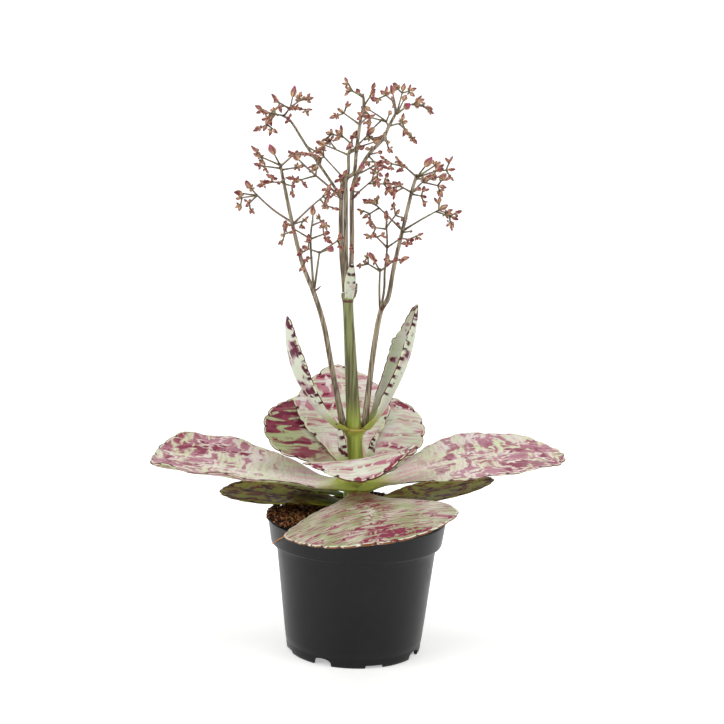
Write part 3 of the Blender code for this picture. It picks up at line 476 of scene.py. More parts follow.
def build_leaf(name, leaf, material, rows=120, columns=60):
    """A closed section round t = cosine of an angle, carried along s = sine of an even row count."""
    leaf = {**DEFAULTS, **leaf}
    s_rows = np.sin(np.linspace(0, math.pi / 2, rows + 1))[:-1]
    s, t = np.repeat(s_rows, columns), np.tile(np.cos(around(columns)), rows)
    upper = np.tile(np.sin(around(columns)), rows)
    margin, notch, run = margin_map(leaf, s, t)
    middle = blade_surface(leaf, s, t)
    inward = blade_surface(leaf, leaf["widest"], 0.0) - middle
    inward /= np.linalg.norm(inward, axis=1, keepdims=True)
    cut = leaf["depth"] * notch * np.exp(-(margin / CUT_DEPTH) ** 2)
    lift = leaf_lift(leaf, s, t, upper, margin, run)
    points = middle + inward * cut[:, None] + blade_normal(leaf, s, t) * lift[:, None]
    points[:columns] = on_collar(points[:columns], leaf)
    base, tip = points[:columns].mean(0), blade_surface(leaf, 1.0, 0.0)
    across, along = t * half_width(leaf, s), s * leaf["length"]
    face = np.where(upper < 0, UNDERSIDE_OFFSET, 0.0)
    place = np.stack([across, along + leaf["slant"] * across, face], -1) * leaf["grain"]
    stalk = 1 - smoothstep(along, 0.2 * leaf["stalk"], leaf["stalk"])
    # the midrib's pale line is partly the real pale rib and partly a painted highlight on it
    along_rib_and_highlight = RIB_AND_HIGHLIGHT_STRENGTH * np.exp(-((s - leaf["rib_and_highlight"][0]) / leaf["rib_and_highlight"][1]) ** 2)
    # each attribute's values at the base point, over the grid and at the tip point
    attributes = {
        "leaf_mm": ([0, 0, 0], place, [0, leaf["length"], 0]),
        "margin": (5.0, margin + STALK_CLEARANCE * stalk, 0.0),
        "notch": (0.0, notch * np.where(t * leaf["spot_side"] < 0, FAINT_SPOTS, 1.0), 0.0),
        "under": (0.0, np.where(upper < 0, 1.0, 0.0), 0.0),
        "flush": (0.0, soft_spots(leaf["flush"], s, t), 0.0),
        "mottle": (0.0, soft_spots(leaf["mottle"], s, t), 0.0),
        "streak": (leaf["streaked"], leaf["streaked"] * (1 - smoothstep(s, *STREAK_END)), 0.0),
        "stalk": (stalk[0], stalk, 0.0),
        "rib_and_highlight": (0.0, np.where(upper > 0, along_rib_and_highlight * np.exp(-(across / RIB_AND_HIGHLIGHT_WIDTH) ** 2), 0.0), 0.0),
    }
    attributes = {key: np.concatenate([[first], grid, [last]])
                  for key, (first, grid, last) in attributes.items()}
    return put_mesh(name, np.concatenate([[base], points, [tip]]), *closed_faces(rows, columns), attributes,
                    material)

# %% [markdown]
# ## The leaf's skin
# The leaf is waxy: pale grey-green under a thin bloom, with burgundy pigment laid in broken bands across
# it. The bands are a noise that is stretched across the leaf and compared with a threshold, which each
# leaf raises or lowers by its own soft spots. A second noise cuts the bands into blocks with pale lines,
# and where the threshold is passed by far, the mauve turns crimson. Hair lines of pink run beside the
# side veins, and streams of pink run up the stalk. Wax gives a satin gloss with a clear highlight, so the
# roughness stays near 0.4 and varies with the bloom. Painted pictures could carry all this, but a rule
# gives every leaf a pattern of its own at any size. The recipe has three parts: the noises, the sums and
# smooth steps that turn them into masks, and the layers of colour.

# %% Leaf recipe
LEAF_READINGS = ("leaf_mm", "margin", "notch", "under", "flush", "mottle", "streak", "stalk", "rib_and_highlight")
# Each colour covers what is below it by the share of its mask
LAYERS = [("bloom", "bloom"), ("hair", "vein"), ("stream", "stream"), ("patch", "mauve"),
          ("patch_bloom", "mauve_bloom"), ("rib_and_highlight", "rib_and_highlight"), ("under", "under"), ("under_patch", "under_spot"),
          ("stalk", "stalk"), ("core", "burgundy"), ("small", "burgundy"), ("strip", "strip"),
          ("line", "line"), ("spot", "spot")]


def leaf_recipe(look):
    """The steps for one look, which is a dict of colours and amounts."""
    # noises: the places that they read, their scale per mm across and along the leaf, their detail
    noises = [
        ("bands", "stirred", look["band_scale"], 2.5), ("blocks", "stirred", look["block_scale"], 2.0),
        ("dashes", "stirred", look["dash_scale"], 4.0), ("veins", "stirred", (0.07, 0.5), 3.0),
        ("streams", "leaf_mm", (0.22, 0.03), 3.0), ("bloom", "leaf_mm", (0.04, 0.04), 3.0),
        ("breaks", "leaf_mm", (0.09, 0.09), 2.0), ("pores", "leaf_mm", (0.7, 0.7), 3.0),
    ]
    # the pattern's places are pushed about by a few mm over 25 mm, so that no band is straight
    recipe = [("stir", "NOISES", "leaf_mm", 0.04, 3.0),
              ("stirred", "SHIFT", "stir", (9.0, 13.0, 0.0), "leaf_mm")]
    for key, source, scale, detail in noises:
        recipe += [(key, "SCALE", source, (*scale, 1.0)), (key, "NOISE", key, 1.0, detail)]
    low, notch, reach = look["band_level"], look["spot_level"], look["spot_reach"]
    core, dash, line = low + 0.25 + look["core"], look["dash_level"], look["line_level"]
    recipe += [
        ("bands", "ADD", "bands", "flush"),
        ("patch", "STEP", "bands", low, low + look["softness"]),
        ("ridge", "SUBTRACT", "blocks", 0.5),
        ("ridge", "ABSOLUTE", "ridge"),
        ("gap", "STEP", "ridge", 0.05, 0.02),
        ("broken", "STEP", "dashes", 0.4, 0.5),
        ("gap", "MULTIPLY", "gap", "broken"),
        ("gap", "MAXIMUM", "gap", "streak"),
        ("whole", "SUBTRACT", 1.0, "gap"),
        ("patch", "MULTIPLY", "patch", "whole"),
        ("deep", "ADD", "bands", "mottle"),
        ("deep", "MULTIPLY_ADD", "dashes", 0.5, "deep"),
        ("core", "STEP", "deep", core, core + 0.06),
        ("core", "MULTIPLY", "core", "whole"),
        ("small", "ADD", "dashes", "mottle"),
        ("small", "STEP", "small", dash, dash + 0.045),
        ("hair", "STEP", "veins", 0.46, 0.64),
        ("hair", "MULTIPLY", "hair", look["hair"]),
        ("stream", "STEP", "streams", 0.42, 0.62),
        ("stream", "MULTIPLY", "stream", "streak"),
        ("bloom", "STEP", "bloom", 0.36, 0.66),
        ("patch_bloom", "MULTIPLY", "patch", "bloom"),
        ("under", "MULTIPLY", "under", look["under_share"]),
        ("under_patch", "MULTIPLY", "under", "patch"),
        ("solid", "STEP", "dashes", 0.6, 0.5),
        ("strip", "STEP", "margin", 1.7, 0.9),
        ("strip", "MULTIPLY", "strip", "solid"),
        ("reddened", "STEP", "breaks", line, line + 0.12),
        ("line", "STEP", "margin", 0.7, 0.35),
        ("line", "MULTIPLY", "line", "reddened"),
        ("spot", "STEP", "notch", notch, notch + 0.3),
        ("near", "STEP", "margin", reach, reach * 0.5),
        ("kept", "STEP", "breaks", 0.36, 0.44),
        ("spot", "MULTIPLY", "spot", "near"),
        ("spot", "MULTIPLY", "spot", "kept"),
        ("Roughness", "RAMP", "bloom", 0.0, 1.0, look["gloss"], look["gloss"] + 0.16),
        ("Normal", "RELIEF", "pores", 0.14, 0.0006),
    ]
    below = look["ground"]
    for mask, colour in LAYERS:
        recipe.append(("Base Color", "MIX", mask, below, look[colour]))
        below = "Base Color"
    return recipe

# %% [markdown]
# ## Seven looks of one skin
# All leaves share the recipe, but old ones low down are olive, those behind the stem are rosy or nearly
# burgundy, and the upright ones are whitish with bloom. So each look is a table of colours, levels and
# noise scales, written as the changes from the spotted look of the big leaves. The streaked look is the
# front leaf's. The shaded one is the lower leaves' olive, darkened and saturated as painted shade.

# %% Leaf finishes
SPOTTED = dict(ground="#d0daaa", bloom="#ebe0d8", vein="#cf98a2", stream="#dca8b0", mauve="#9f4a62",
               mauve_bloom="#bd8292", burgundy="#861c3e", rib_and_highlight="#e6e8d2", under="#86993f",
               under_spot="#7c3f46", strip="#dfe4c0", line="#6a2c2c", spot="#4c1826", stalk="#a9b352",
               under_share=0.85, hair=0.55, band_scale=(0.045, 0.125), band_level=0.48, softness=0.1,
               block_scale=(0.09, 0.05), dash_scale=(0.16, 0.11), dash_level=0.66, core=0.19, gloss=0.34,
               shine=0.3, line_level=0.38, spot_level=0.45, spot_reach=2.6)
LOOKS = {
    "spotted": ("leaf_spotted", {}),
    "streaked": ("leaf_spotted", dict(
        ground="#94a56a", bloom="#ccc2ae", hair=1.0, vein="#985a66", stream="#94485a", mauve="#862e4a",
        mauve_bloom="#ac6472", burgundy="#841a3c", line="#7c4a22", strip="#ecefd8", core=0.065,
        line_level=0.3, dash_scale=(0.13, 0.3), spot_level=0.6, spot_reach=1.8)),
    # Painted shade: the lower leaves' olive is darkened and saturated for the shade under the big leaves
    "shaded": ("leaf_shaded", dict(
        ground="#989c28", bloom="#a79c4a", vein="#7e6420", stream="#6a3a22", mauve="#702a18",
        mauve_bloom="#7e4028", burgundy="#461612", rib_and_highlight="#7f8828", strip="#98a038", line="#4a1c10",
        under="#66700e", under_spot="#42200c", band_level=0.44, stalk="#74833a", gloss=0.45, shine=0.03,
        band_scale=(0.07, 0.1), core=0.11)),
    "olive": ("leaf_shaded", dict(
        ground="#9aa662", bloom="#b3ae86", vein="#96705e", stream="#8c5a58", mauve="#76303c",
        mauve_bloom="#8e5358", burgundy="#581c2a", strip="#b4bc84", under="#7c8a44", band_level=0.46,
        gloss=0.4, band_scale=(0.05, 0.11))),
    "burgundy": ("leaf_burgundy", dict(
        ground="#b4c48c", bloom="#c4bf9f", hair=0.3, vein="#a98a80", mauve="#8c2c44",
        mauve_bloom="#984658", burgundy="#78203a", band_level=0.43, core=0.14, band_scale=(0.013, 0.11),
        block_scale=(0.015, 0.07))),
    "blush": ("leaf_blush", dict(
        ground="#d3dcbc", bloom="#eee6e2", vein="#d0a2aa", stream="#d0a0a8", mauve="#b2566e",
        mauve_bloom="#cd9aa6", burgundy="#8a2c48", band_level=0.5, core=0.2, band_scale=(0.014, 0.13),
        hair=0.7, dash_level=0.68)),
    "whitish": ("leaf_whitish", dict(
        ground="#c6d2b0", bloom="#e2e4d8", vein="#c9b0b4", stream="#c0aeb0", mauve="#a5647a",
        mauve_bloom="#c09aa8", burgundy="#5f1c34", under="#d0d6c2", under_spot="#b08490",
        under_share=0.6, hair=0.25, band_level=0.55, core=0.1, band_scale=(0.05, 0.1), spot_level=0.16,
        spot_reach=4.6)),
}
leaf_finish = {}
for look_name, (slot_name, changes) in LOOKS.items():
    # Live succulent leaf: wax over water-filled flesh, which lets a little light through
    look = {**SPOTTED, **changes}
    constants = {"IOR": 1.45, "Specular IOR Level": look["shine"], "Subsurface Weight": 0.06,
                 "Subsurface Scale": 0.003}
    material = new_material("waxy_leaf_" + look_name, constants, leaf_recipe(look), LEAF_READINGS)
    leaf_finish[look_name] = (slot_name, material)
print("leaf finishes:", ", ".join(leaf_finish))

# %% [markdown]
# ## The leaves, one by one
# Leaves stand in pairs, each pair a quarter turn from the next. An entry says, in millimetres and
# degrees, where the leaf leaves the stem (z, bearing and, off the collar, at), its length, width and
# base, how its midrib rises at first and last and bends sideways, how the blade rolls and folds, the
# widest place as a share of the length, and the powers that shape its shoulder and its tip. perch, clasp
# and heel fit the base to the stem. scallop, depth and wave are a lobe's length, its depth and the
# height of the margin's slow wave.
#
# The other values draw the skin. look picks the finish, stalk is the length of the green foot, and
# streaked is the strength of the pink streams. slant leans the bands, grain makes them finer,
# rib_and_highlight is the middle and the reach of the pale midrib, partly a painted highlight, and
# spot_side is the margin that keeps its dark spots. flush and mottle are soft spots of mauve and of
# burgundy: (s, t, reach along, reach across, strength).

# %% Leaf values
# The young leaves are small and folded nearly shut, and the bracts at the node are smaller still
FOLDED = dict(rise=(72, 90), fold=60, base=6, widest=0.5, shoulder=0.4, tip=1.3, scallop=8, depth=0.5,
              look="whitish")
BRACT = dict(FOLDED, z=238.5, widest=0.45, shoulder=0.3, tip=1.2, at=NODE_RADIUS, depth=0.3, stalk=1.0)
LEAVES = {
    "leaf_lower_left": dict(
        z=98, bearing=162, length=90, width=66, rise=(3, 0), roll=-3, fold=9, base=18, widest=0.61,
        shoulder=0.95, tip=1.9, look="shaded", flush=[(0.8, 0.5, 0.4, 0.8, 0.06)]),
    "leaf_lower_right": dict(
        z=98, bearing=21, length=92, width=63, rise=(4, 14), roll=-4, fold=9, base=20, widest=0.54,
        shoulder=0.88, tip=1.75, look="shaded"),
    "leaf_front": dict(
        z=104, bearing=-81.5, bend=-12, length=130, width=108, rise=(18, -14.5), roll=10, fold=-11,
        base=17, perch=4.2, widest=0.69, shoulder=0.88, tip=1.35, grain=1.5, depth=0.9, stalk=8,
        streaked=0.3, rib_and_highlight=(0.66, 0.14), slant=0.2, look="streaked", flush=[(0.08, 0, 0.1, 2.0, 0.16),
        (0.6, -0.4, 0.6, 0.9, -0.08), (0.65, 0.7, 0.3, 0.4, -0.06), (0.93, 0.5, 0.1, 0.5, 0.17)],
        mottle=[(0.08, 0, 0.1, 2.0, 0.1), (0.38, 0, 0.17, 0.26, 0.2), (0.7, 0, 0.2, 0.2, 0.08),
        (0.93, 0.45, 0.07, 0.4, 0.1)]),
    "leaf_low_back": dict(
        z=103, bearing=92, length=127, width=90, rise=(16, -5), roll=4, fold=8, widest=0.62, shoulder=0.9,
        tip=1.7, look="olive"),
    # Big left leaf: the -0.16 flush pales the inner third, partly its own colour, partly painted light
    "leaf_big_left": dict(
        z=110, bearing=182, bend=-1, length=130.5, width=106, rise=(8.3, 7), roll=-2.6, fold=21.6,
        base=10, clasp=9.5, heel=7.5, widest=0.75, shoulder=-0.12, tip=2.5, look="spotted", wave=1.6,
        stalk=24, rib_and_highlight=(0.6, 0.3), flush=[(0.85, -0.2, 0.35, 1.2, 0.1), (0.36, 0, 0.14, 2.0, -0.16)],
        mottle=[(0.68, -0.6, 0.25, 0.08, 0.19), (0.8, 0.05, 0.2, 0.08, 0.12),
        (0.65, 0.92, 0.35, 0.2, 0.2)]),
    "leaf_big_right": dict(
        z=110, bearing=2.4, bend=4, length=135.5, width=92.7, rise=(26, -4.8), roll=7.4, fold=6.4,
        base=10, clasp=9.5, heel=7.5, widest=0.47, shoulder=0.49, tip=2.1, look="spotted", wave=0.7,
        stalk=24, depth=2.2, rib_and_highlight=(0.5, 0.25), flush=[(0.85, -0.3, 0.3, 1.2, 0.11),
        (0.35, 0.7, 0.2, 0.6, -0.04), (0.78, -0.6, 0.2, 0.22, 0.1), (0.55, 0.1, 0.25, 0.8, 0.04)],
        mottle=[(0.78, -0.6, 0.2, 0.2, 0.15), (0.55, 0.18, 0.2, 0.07, 0.17)]),
    "leaf_small_front": dict(
        z=114, bearing=-87, length=67, width=75, rise=(72, -42.5), roll=10, fold=12.6, base=8, widest=0.6,
        shoulder=0.54, tip=1.2, look="blush", stalk=14, flush=[(0.8, 0, 0.2, 1.5, -0.03)],
        mottle=[(1.0, 0.2, 0.07, 1.0, 0.22), (0.74, -0.92, 0.12, 0.14, 0.4), (0.8, 0.9, 0.2, 0.2, 0.24)]),
    "leaf_back_left": dict(
        z=113, bearing=146, length=75, width=63, rise=(43, 36), roll=-20, fold=8.7, base=7, widest=0.61,
        shoulder=1.15, tip=2.15, look="burgundy", slant=-0.45, flush=[(0.95, -0.2, 0.4, 1.0, 0.14),
        (0.4, -0.6, 0.5, 0.5, 0.08)]),
    "leaf_back_right": dict(
        z=113, bearing=65, length=74, width=57, rise=(41.5, 43), roll=25.5, fold=8.5, base=7, widest=0.6,
        shoulder=0.95, tip=2.3, look="blush", slant=0.35, flush=[(0.47, -0.5, 0.05, 0.7, 0.24),
        (0.75, -0.2, 0.16, 0.9, -0.08), (1.0, -0.5, 0.12, 0.7, 0.2)],
        mottle=[(0.97, -0.5, 0.05, 0.7, 0.3)]),
    "leaf_back_centre": dict(
        z=118, bearing=105, bend=2.5, length=84, width=71, rise=(46, 64), roll=-3.3, fold=9, base=8,
        widest=0.71, shoulder=0.31, tip=0.73, look="blush", flush=[(0.89, 0.5, 0.022, 0.4, 0.3),
        (0.82, 0.4, 0.02, 0.35, 0.3), (0.73, 0.3, 0.022, 0.35, 0.3), (0.62, 0.25, 0.025, 0.35, 0.26),
        (0.77, 0.4, 0.2, 0.5, -0.04), (0.99, 0.3, 0.02, 0.6, 0.3)], mottle=[(1.0, 0.3, 0.03, 0.8, 0.25)]),
    "leaf_upright_left": dict(
        z=151, bearing=202, bend=-10, length=89, width=30.5, rise=(33, 93), roll=6.7, fold=39, base=17,
        widest=0.67, shoulder=0.85, tip=1.1, at=CUP_RADIUS, scallop=7, depth=0.9, look="whitish",
        spot_side=1, flush=[(0.6, 0, 0.6, 3.0, 0.08)], mottle=[(0.75, 0, 0.12, 3.0, -0.06),
        (0.7, 0.9, 0.6, 0.35, 0.13), (1.0, 0, 0.07, 3.0, 0.3)]),
    "leaf_upright_right": dict(
        z=151, bearing=5.4, bend=8.5, length=91, width=31.5, rise=(52, 88.5), roll=11, fold=91, base=16,
        widest=0.71, shoulder=-0.1, tip=0.56, at=CUP_RADIUS, scallop=7, depth=0.9, look="whitish",
        spot_side=-1, mottle=[(0.7, -0.9, 0.6, 0.3, 0.08), (1.0, 0, 0.07, 3.0, 0.3)]),
    "leaf_under_left": dict(
        z=104, bearing=154, length=44, width=24, rise=(4, 0), fold=10, base=7, widest=0.6, shoulder=0.9,
        tip=1.7, scallop=9, depth=0.6, look="shaded"),
    "leaf_young_left": dict(
        FOLDED, z=121, bearing=212, length=34, width=12, mottle=[(0.6, 0, 0.6, 3.0, 0.12)]),
    "leaf_young_right": dict(
        FOLDED, z=121, bearing=-30, length=27, width=11, mottle=[(0.6, 0, 0.6, 3.0, 0.12)]),
    "bract_front": dict(
        BRACT, bearing=-78, length=25, width=9, rise=(62, 88), fold=62, mottle=[(0.6, 0, 0.5, 3.0, 0.07)]),
    "bract_right": dict(
        BRACT, bearing=38, length=10, width=6, rise=(60, 88), base=5),
}
print(len(LEAVES), "leaves and bracts")

# %% Make the leaves
for leaf_name, leaf_values in LEAVES.items():
    leaf_slot, leaf_material = leaf_finish[leaf_values["look"]]
    finish_piece(build_leaf("fine_" + leaf_name, leaf_values, leaf_material), leaf_slot, leaf_name)

# %% [markdown]
# ## Smooth profiles and tubes
# Turned pieces start from a few profile points. Cutting each corner at a quarter and three quarters of
# its edges, two or three times over, rounds them as a mould would. Stems are circles carried along a
# curve: a smooth route through a few points, with a frame that is carried along without twisting.

# %% Profiles and routes
def rounded(profile, times):
    """Corner cutting: each edge gives the points at 1/4 and 3/4 of its length, and the ends stay."""
    points = np.asarray(profile, float)
    for _ in range(times):
        quarter = points[:-1] * 0.75 + points[1:] * 0.25
        three = points[:-1] * 0.25 + points[1:] * 0.75
        cut = np.stack([quarter, three], 1).reshape(-1, points.shape[1])
        points = np.concatenate([points[:1], cut, points[-1:]])
    return points


def smooth_route(points, count):
    """A curve through the points: cubic pieces, each slope half the step between neighbours."""
    points = np.asarray(points, float)
    if len(points) == 2:
        return points[0] + (points[1] - points[0]) * np.linspace(0, 1, count)[:, None]
    slope = np.gradient(points, axis=0)
    place = np.linspace(0, len(points) - 1, count)
    k = np.minimum(place.astype(int), len(points) - 2)
    x = (place - k)[:, None]
    a, b, da, db = points[k], points[k + 1], slope[k], slope[k + 1]
    return (a * (1 + 2 * x) * (1 - x) ** 2 + b * x ** 2 * (3 - 2 * x)
            + da * x * (1 - x) ** 2 - db * x ** 2 * (1 - x))


print("points of a corner that is cut twice:", len(rounded([(0, 0), (1, 0), (1, 1)], 2)))

# %% Tubes
def frame_for(direction):
    """A unit direction and two more square to it."""
    along = np.asarray(direction, float) / np.linalg.norm(direction)
    helper = np.array([0.0, 0.0, 1.0]) if abs(along[2]) < 0.9 else np.array([1.0, 0.0, 0.0])
    first = np.cross(along, helper)
    first /= np.linalg.norm(first)
    return along, first, np.cross(along, first)


def tube_points(route, radii, columns):
    """Circles of the given radii, square to the route, between its two end points.

    The first side of the frame is carried from point to point, less its part along the route.
    """
    along = np.gradient(route, axis=0)
    along /= np.linalg.norm(along, axis=1, keepdims=True)
    first, side = np.empty_like(along), frame_for(along[0])[1]
    for k, direction in enumerate(along):
        side = side - direction * side.dot(direction)
        side = side / np.linalg.norm(side)
        first[k] = side
    second = np.cross(along, first)
    turn = around(columns)[:, None]
    arm = first[:, None] * np.cos(turn) + second[:, None] * np.sin(turn)
    grid = route[:, None] + arm * np.asarray(radii)[:, None, None]
    return np.concatenate([route[:1], grid.reshape(-1, 3), route[-1:]])


# %% Many shapes in one mesh
class Shapes:
    """Collects closed shapes, each with its attributes, to be put into one mesh."""

    def __init__(self):
        self.points, self.quads, self.tris, self.values, self.count = [], [], [], {}, 0

    def take(self, points, rows, columns, **values):
        """points holds the first pole, the rows of the grid and the last pole."""
        quads, tris = closed_faces(rows, columns, self.count)
        self.points.append(points)
        self.quads.append(quads)
        self.tris.append(tris)
        for key, value in values.items():
            self.values.setdefault(key, []).append(np.broadcast_to(value, len(points)))
        self.count += len(points)

    def put(self, name, material):
        """One mesh of all the shapes taken so far."""
        values = {key: np.concatenate(parts) for key, parts in self.values.items()}
        return put_mesh(name, *map(np.concatenate, (self.points, self.quads, self.tris)), values, material)

# %% [markdown]
# ## The main stem
# The main stem is thick and fleshy at the leaf pairs and slimmer between them. Under the upright pair the
# two leaf bases join in a shallow cup, and at the top a swollen node carries three flower stems. It is a
# turned profile whose rings follow the leaning axis, with faint ribs along it. A Screw modifier could
# turn the same profile, but only about a straight axis, so the rings are computed.

# %% Main stem
STEM_PROFILE = [(0.0, 49.0), (5.6, 49.0), (5.6, 90.0), (COLLAR_RADIUS, 94.0), (COLLAR_RADIUS, 100.0),
                (COLLAR_RADIUS, 121.0), (5.4, 128.0), (5.0, 144.0), (6.6, 148.0), (CUP_RADIUS, 150.6),
                (CUP_RADIUS, 152.0), (8.4, 151.6), (6.2, 150.2), (4.9, 150.8), (4.1, 195.0), (3.3, 235.0),
                (NODE_RADIUS, 238.0), (NODE_RADIUS, 241.0), (3.7, 242.0), (0.0, 242.0)]
STEM_RIBS, RIB_HEIGHT, RIB_TWIST = 7, 0.012, 0.02    # how many, as a share of the radius, radians a mm
# Heights in metres: the yellower foot, the cup's pale rim and the scar ring under the node
STEM_SKIN = [
    ("place", "PLACE"), ("height", "HEIGHT", "place"),
    ("streaks", "SCALE", "place", (450, 450, 22)),
    ("streaks", "NOISE", "streaks", 1.0, 4.0), ("streaks", "STEP", "streaks", 0.42, 0.62),
    ("low", "STEP", "height", 0.175, 0.15),
    ("green", "MIX", "low", "#868d58", "#b9c85c"),
    ("brown", "MIX", "low", "#544a2c", "#a6b64e"),
    ("skin", "MIX", "streaks", "green", "brown"),
    ("cup", "STEP", "height", 0.1475, 0.1512), ("above", "STEP", "height", 0.1535, 0.152),
    ("cup", "MULTIPLY", "cup", "above"),
    ("skin", "MIX", "cup", "skin", "#b5a850"),
    ("ring", "COMPARE", "height", 0.2364, 0.0008),
    ("Base Color", "MIX", "ring", "skin", "#5c2c22"),
    ("Normal", "RELIEF", "streaks", 0.2, 0.0005),
]


def build_stem(material, columns=40):
    """Rings of the profile's radius times 1 plus a small cosine of seven times the angle."""
    profile, turn = rounded(STEM_PROFILE, 3)[1:-1], around(columns)
    z = np.repeat(profile[:, 1:2], columns, 1)
    ribs = 1 + RIB_HEIGHT * np.cos(STEM_RIBS * turn + RIB_TWIST * z)
    grid = on_ring(profile[:, :1] * ribs, turn, z)
    grid[..., 0] += stem_x(z)
    (_, bottom), (_, top) = STEM_PROFILE[0], STEM_PROFILE[-1]
    poles = [[[float(stem_x(height)), 0.0, height]] for height in (bottom, top)]
    points = np.concatenate([poles[0], grid.reshape(-1, 3), poles[1]])
    return put_mesh("fine_stem", points, *closed_faces(len(profile), columns), material=material)


# Living stem: green with grey-brown streaks that run up it, yellower near the leaf bases, satin
stem_finish = new_material("green_stem_skin", {"Roughness": 0.42, "Subsurface Weight": 0.05,
                                               "Subsurface Scale": 0.002}, STEM_SKIN)
finish_piece(build_stem(stem_finish), "stem_green", "stem")

# %% [markdown]
# ## The pot
# A black nursery pot is moulded from thin polypropylene: a stepped skirt under the rim, a slightly
# tapered wall and a foot ring with arched and flat notches, so that water can run out. The whole skin is
# one turned surface. Its lowest rings are lifted by a notch height that depends only on the angle, and
# extra columns stand at both sides of each notch, so that the notches have crisp edges. Boolean cuts would
# leave thin slivers of faces there, so only the round drain holes in the floor are cut that way.

# %% Pot measures and notches
POT_PROFILE = [(43.4, 6.0), (43.0, 5.4), (43.0, 0.0), (45.6, 0.0), (46.05, 6.6), (46.6, 7.7),
               (53.9, 72.4), (54.4, 73.3), (57.0, 73.45), (57.7, 74.2), (58.0, 75.6), (59.9, 88.6),
               (60.0, 89.4), (59.6, 89.8), (59.0, 89.8), (58.6, 89.4), (56.8, 75.9), (56.4, 75.1),
               (53.2, 74.9), (52.8, 74.2), (45.6, 8.0), (44.8, 7.5)]
FLOOR_UNDER, FLOOR_TOP = POT_PROFILE[0][1], POT_PROFILE[-1][1]
FOOT_RADIUS, NOTCHED_BELOW = 44.3, 6.3
# Four notches of each kind: the first one's angle in degrees, the width and height in mm, arched or flat
NOTCHES = ((-26.5, 12.5, 5.0, True), (18.5, 12.0, 2.0, False))
DRAIN_HOLES, DRAIN_RADIUS, DRAIN_RING = 8, 3.2, 31.0


def notch_height(turn):
    """Height of the foot's lower edge at an angle: an ellipse in the arches, a step in the flats."""
    height = np.zeros_like(turn)
    for first, width, top, arched in NOTCHES:
        off = (np.degrees(turn) - first + 45) % 90 - 45
        x = np.radians(off) * FOOT_RADIUS / (width / 2)
        dome = 0.45 + 0.55 * np.sqrt(np.clip(1 - x * x, 0, 1))
        height = np.where(np.abs(x) < 1, top * (dome if arched else 1.0), height)
    return height


def pot_columns():
    """Even angles, and a pair of close ones at both sides of each notch."""
    turns = list(np.radians(np.arange(0, 360, 2.0)))
    for first, width, _, _ in NOTCHES:
        edge = math.degrees(width / 2 / FOOT_RADIUS)
        for quarter in range(0, 360, 90):
            turns += [math.radians((first + quarter + side + step) % 360)
                      for side in (-edge, edge) for step in (-0.25, 0.25)]
    return np.array(sorted(turns))


print("columns round the pot:", len(pot_columns()))

# %% Pot
def build_pot(material):
    """Radius and height from the rounded profile, with the height never below the notch at that angle."""
    fine, turn = rounded(POT_PROFILE, 2), pot_columns()
    radius, z = fine[:, :1], fine[:, 1:2]
    z = np.where(z < NOTCHED_BELOW, np.maximum(z, notch_height(turn)), z)
    grid = on_ring(radius, turn - math.pi / 2, z).reshape(-1, 3)
    points = np.concatenate([[[0.0, 0.0, FLOOR_UNDER]], grid, [[0.0, 0.0, FLOOR_TOP]]])
    pot = put_mesh("fine_pot", points, *closed_faces(len(fine), len(turn)), material=material)
    for k in range(DRAIN_HOLES):
        drill_hole(pot, (k + 0.5) * 2 * math.pi / DRAIN_HOLES)
    pot.data.polygons.foreach_set("use_smooth", np.ones(len(pot.data.polygons), bool))
    pot.data.set_sharp_from_angle(angle=math.radians(40))
    return pot


def drill_hole(pot, turn):
    """Cuts a round hole through the floor with a turned cutter, and removes the cutter."""
    x, y = DRAIN_RING * math.sin(turn), -DRAIN_RING * math.cos(turn)
    route = np.array([[x, y, FLOOR_UNDER - 2.0], [x, y, 6.7], [x, y, FLOOR_TOP + 2.5]])
    points = tube_points(route, [DRAIN_RADIUS] * len(route), 16)
    cutter = put_mesh("drill", points, *closed_faces(len(route), 16))
    cut = pot.modifiers.new("drill", "BOOLEAN")
    cut.operation, cut.object = "DIFFERENCE", cutter
    view = bpy.context.evaluated_depsgraph_get()
    result = bpy.data.meshes.new_from_object(pot.evaluated_get(view), depsgraph=view)
    pot.modifiers.clear()
    pot.data = result
    bpy.data.objects.remove(cutter, do_unlink=True)


# Moulded black plastic: spark grain 0.5 mm wide makes a soft sheen, and dust dulls it in patches
pot_finish = new_material("moulded_black_polypropylene", {"IOR": 1.49, "Specular IOR Level": 0.25}, [
    ("place", "PLACE"), ("grain", "NOISE", "place", 2000.0),
    ("dust", "NOISE", "place", 60.0, 5.0, 0.65), ("dust", "STEP", "dust", 0.45, 0.75),
    ("Base Color", "MIX", "dust", "#0c0c0e", "#141313"),
    ("Roughness", "RAMP", "dust", 0.0, 1.0, 0.34, 0.44),
    ("Normal", "RELIEF", "grain", 0.08, 0.0002)])
finish_piece(build_pot(pot_finish), "pot_plastic", "pot")

# %% [markdown]
# ## Soil
# The pot holds peat and coir. Seen closely that is a heap of crumbs and short fibres, so the surface is
# made three times over: a dark uneven ground, some three thousand rough crumbs on it and over the left of
# the rim, and short orange-brown fibres between them. A bump pattern would be lighter, but it stays flat
# where the soil is seen against the rim.

# %% Soil ground
SOIL_TOP, SOIL_MOUND, SOIL_BACK_MOUND, SOIL_HOLE_RADIUS, SOIL_HOLE_FLOOR = 88.5, 5.5, 6.5, 5.98, 48.7
SOIL_SIDE = [(44.7, 7.8), (52.2, 75.1), (56.1, 76.4), (57.7, 87.4)]
SOIL_ROUGH, SMOOTH_FROM = 0.5, 56.0    # mm up or down, and the radius from which the edge stays smooth


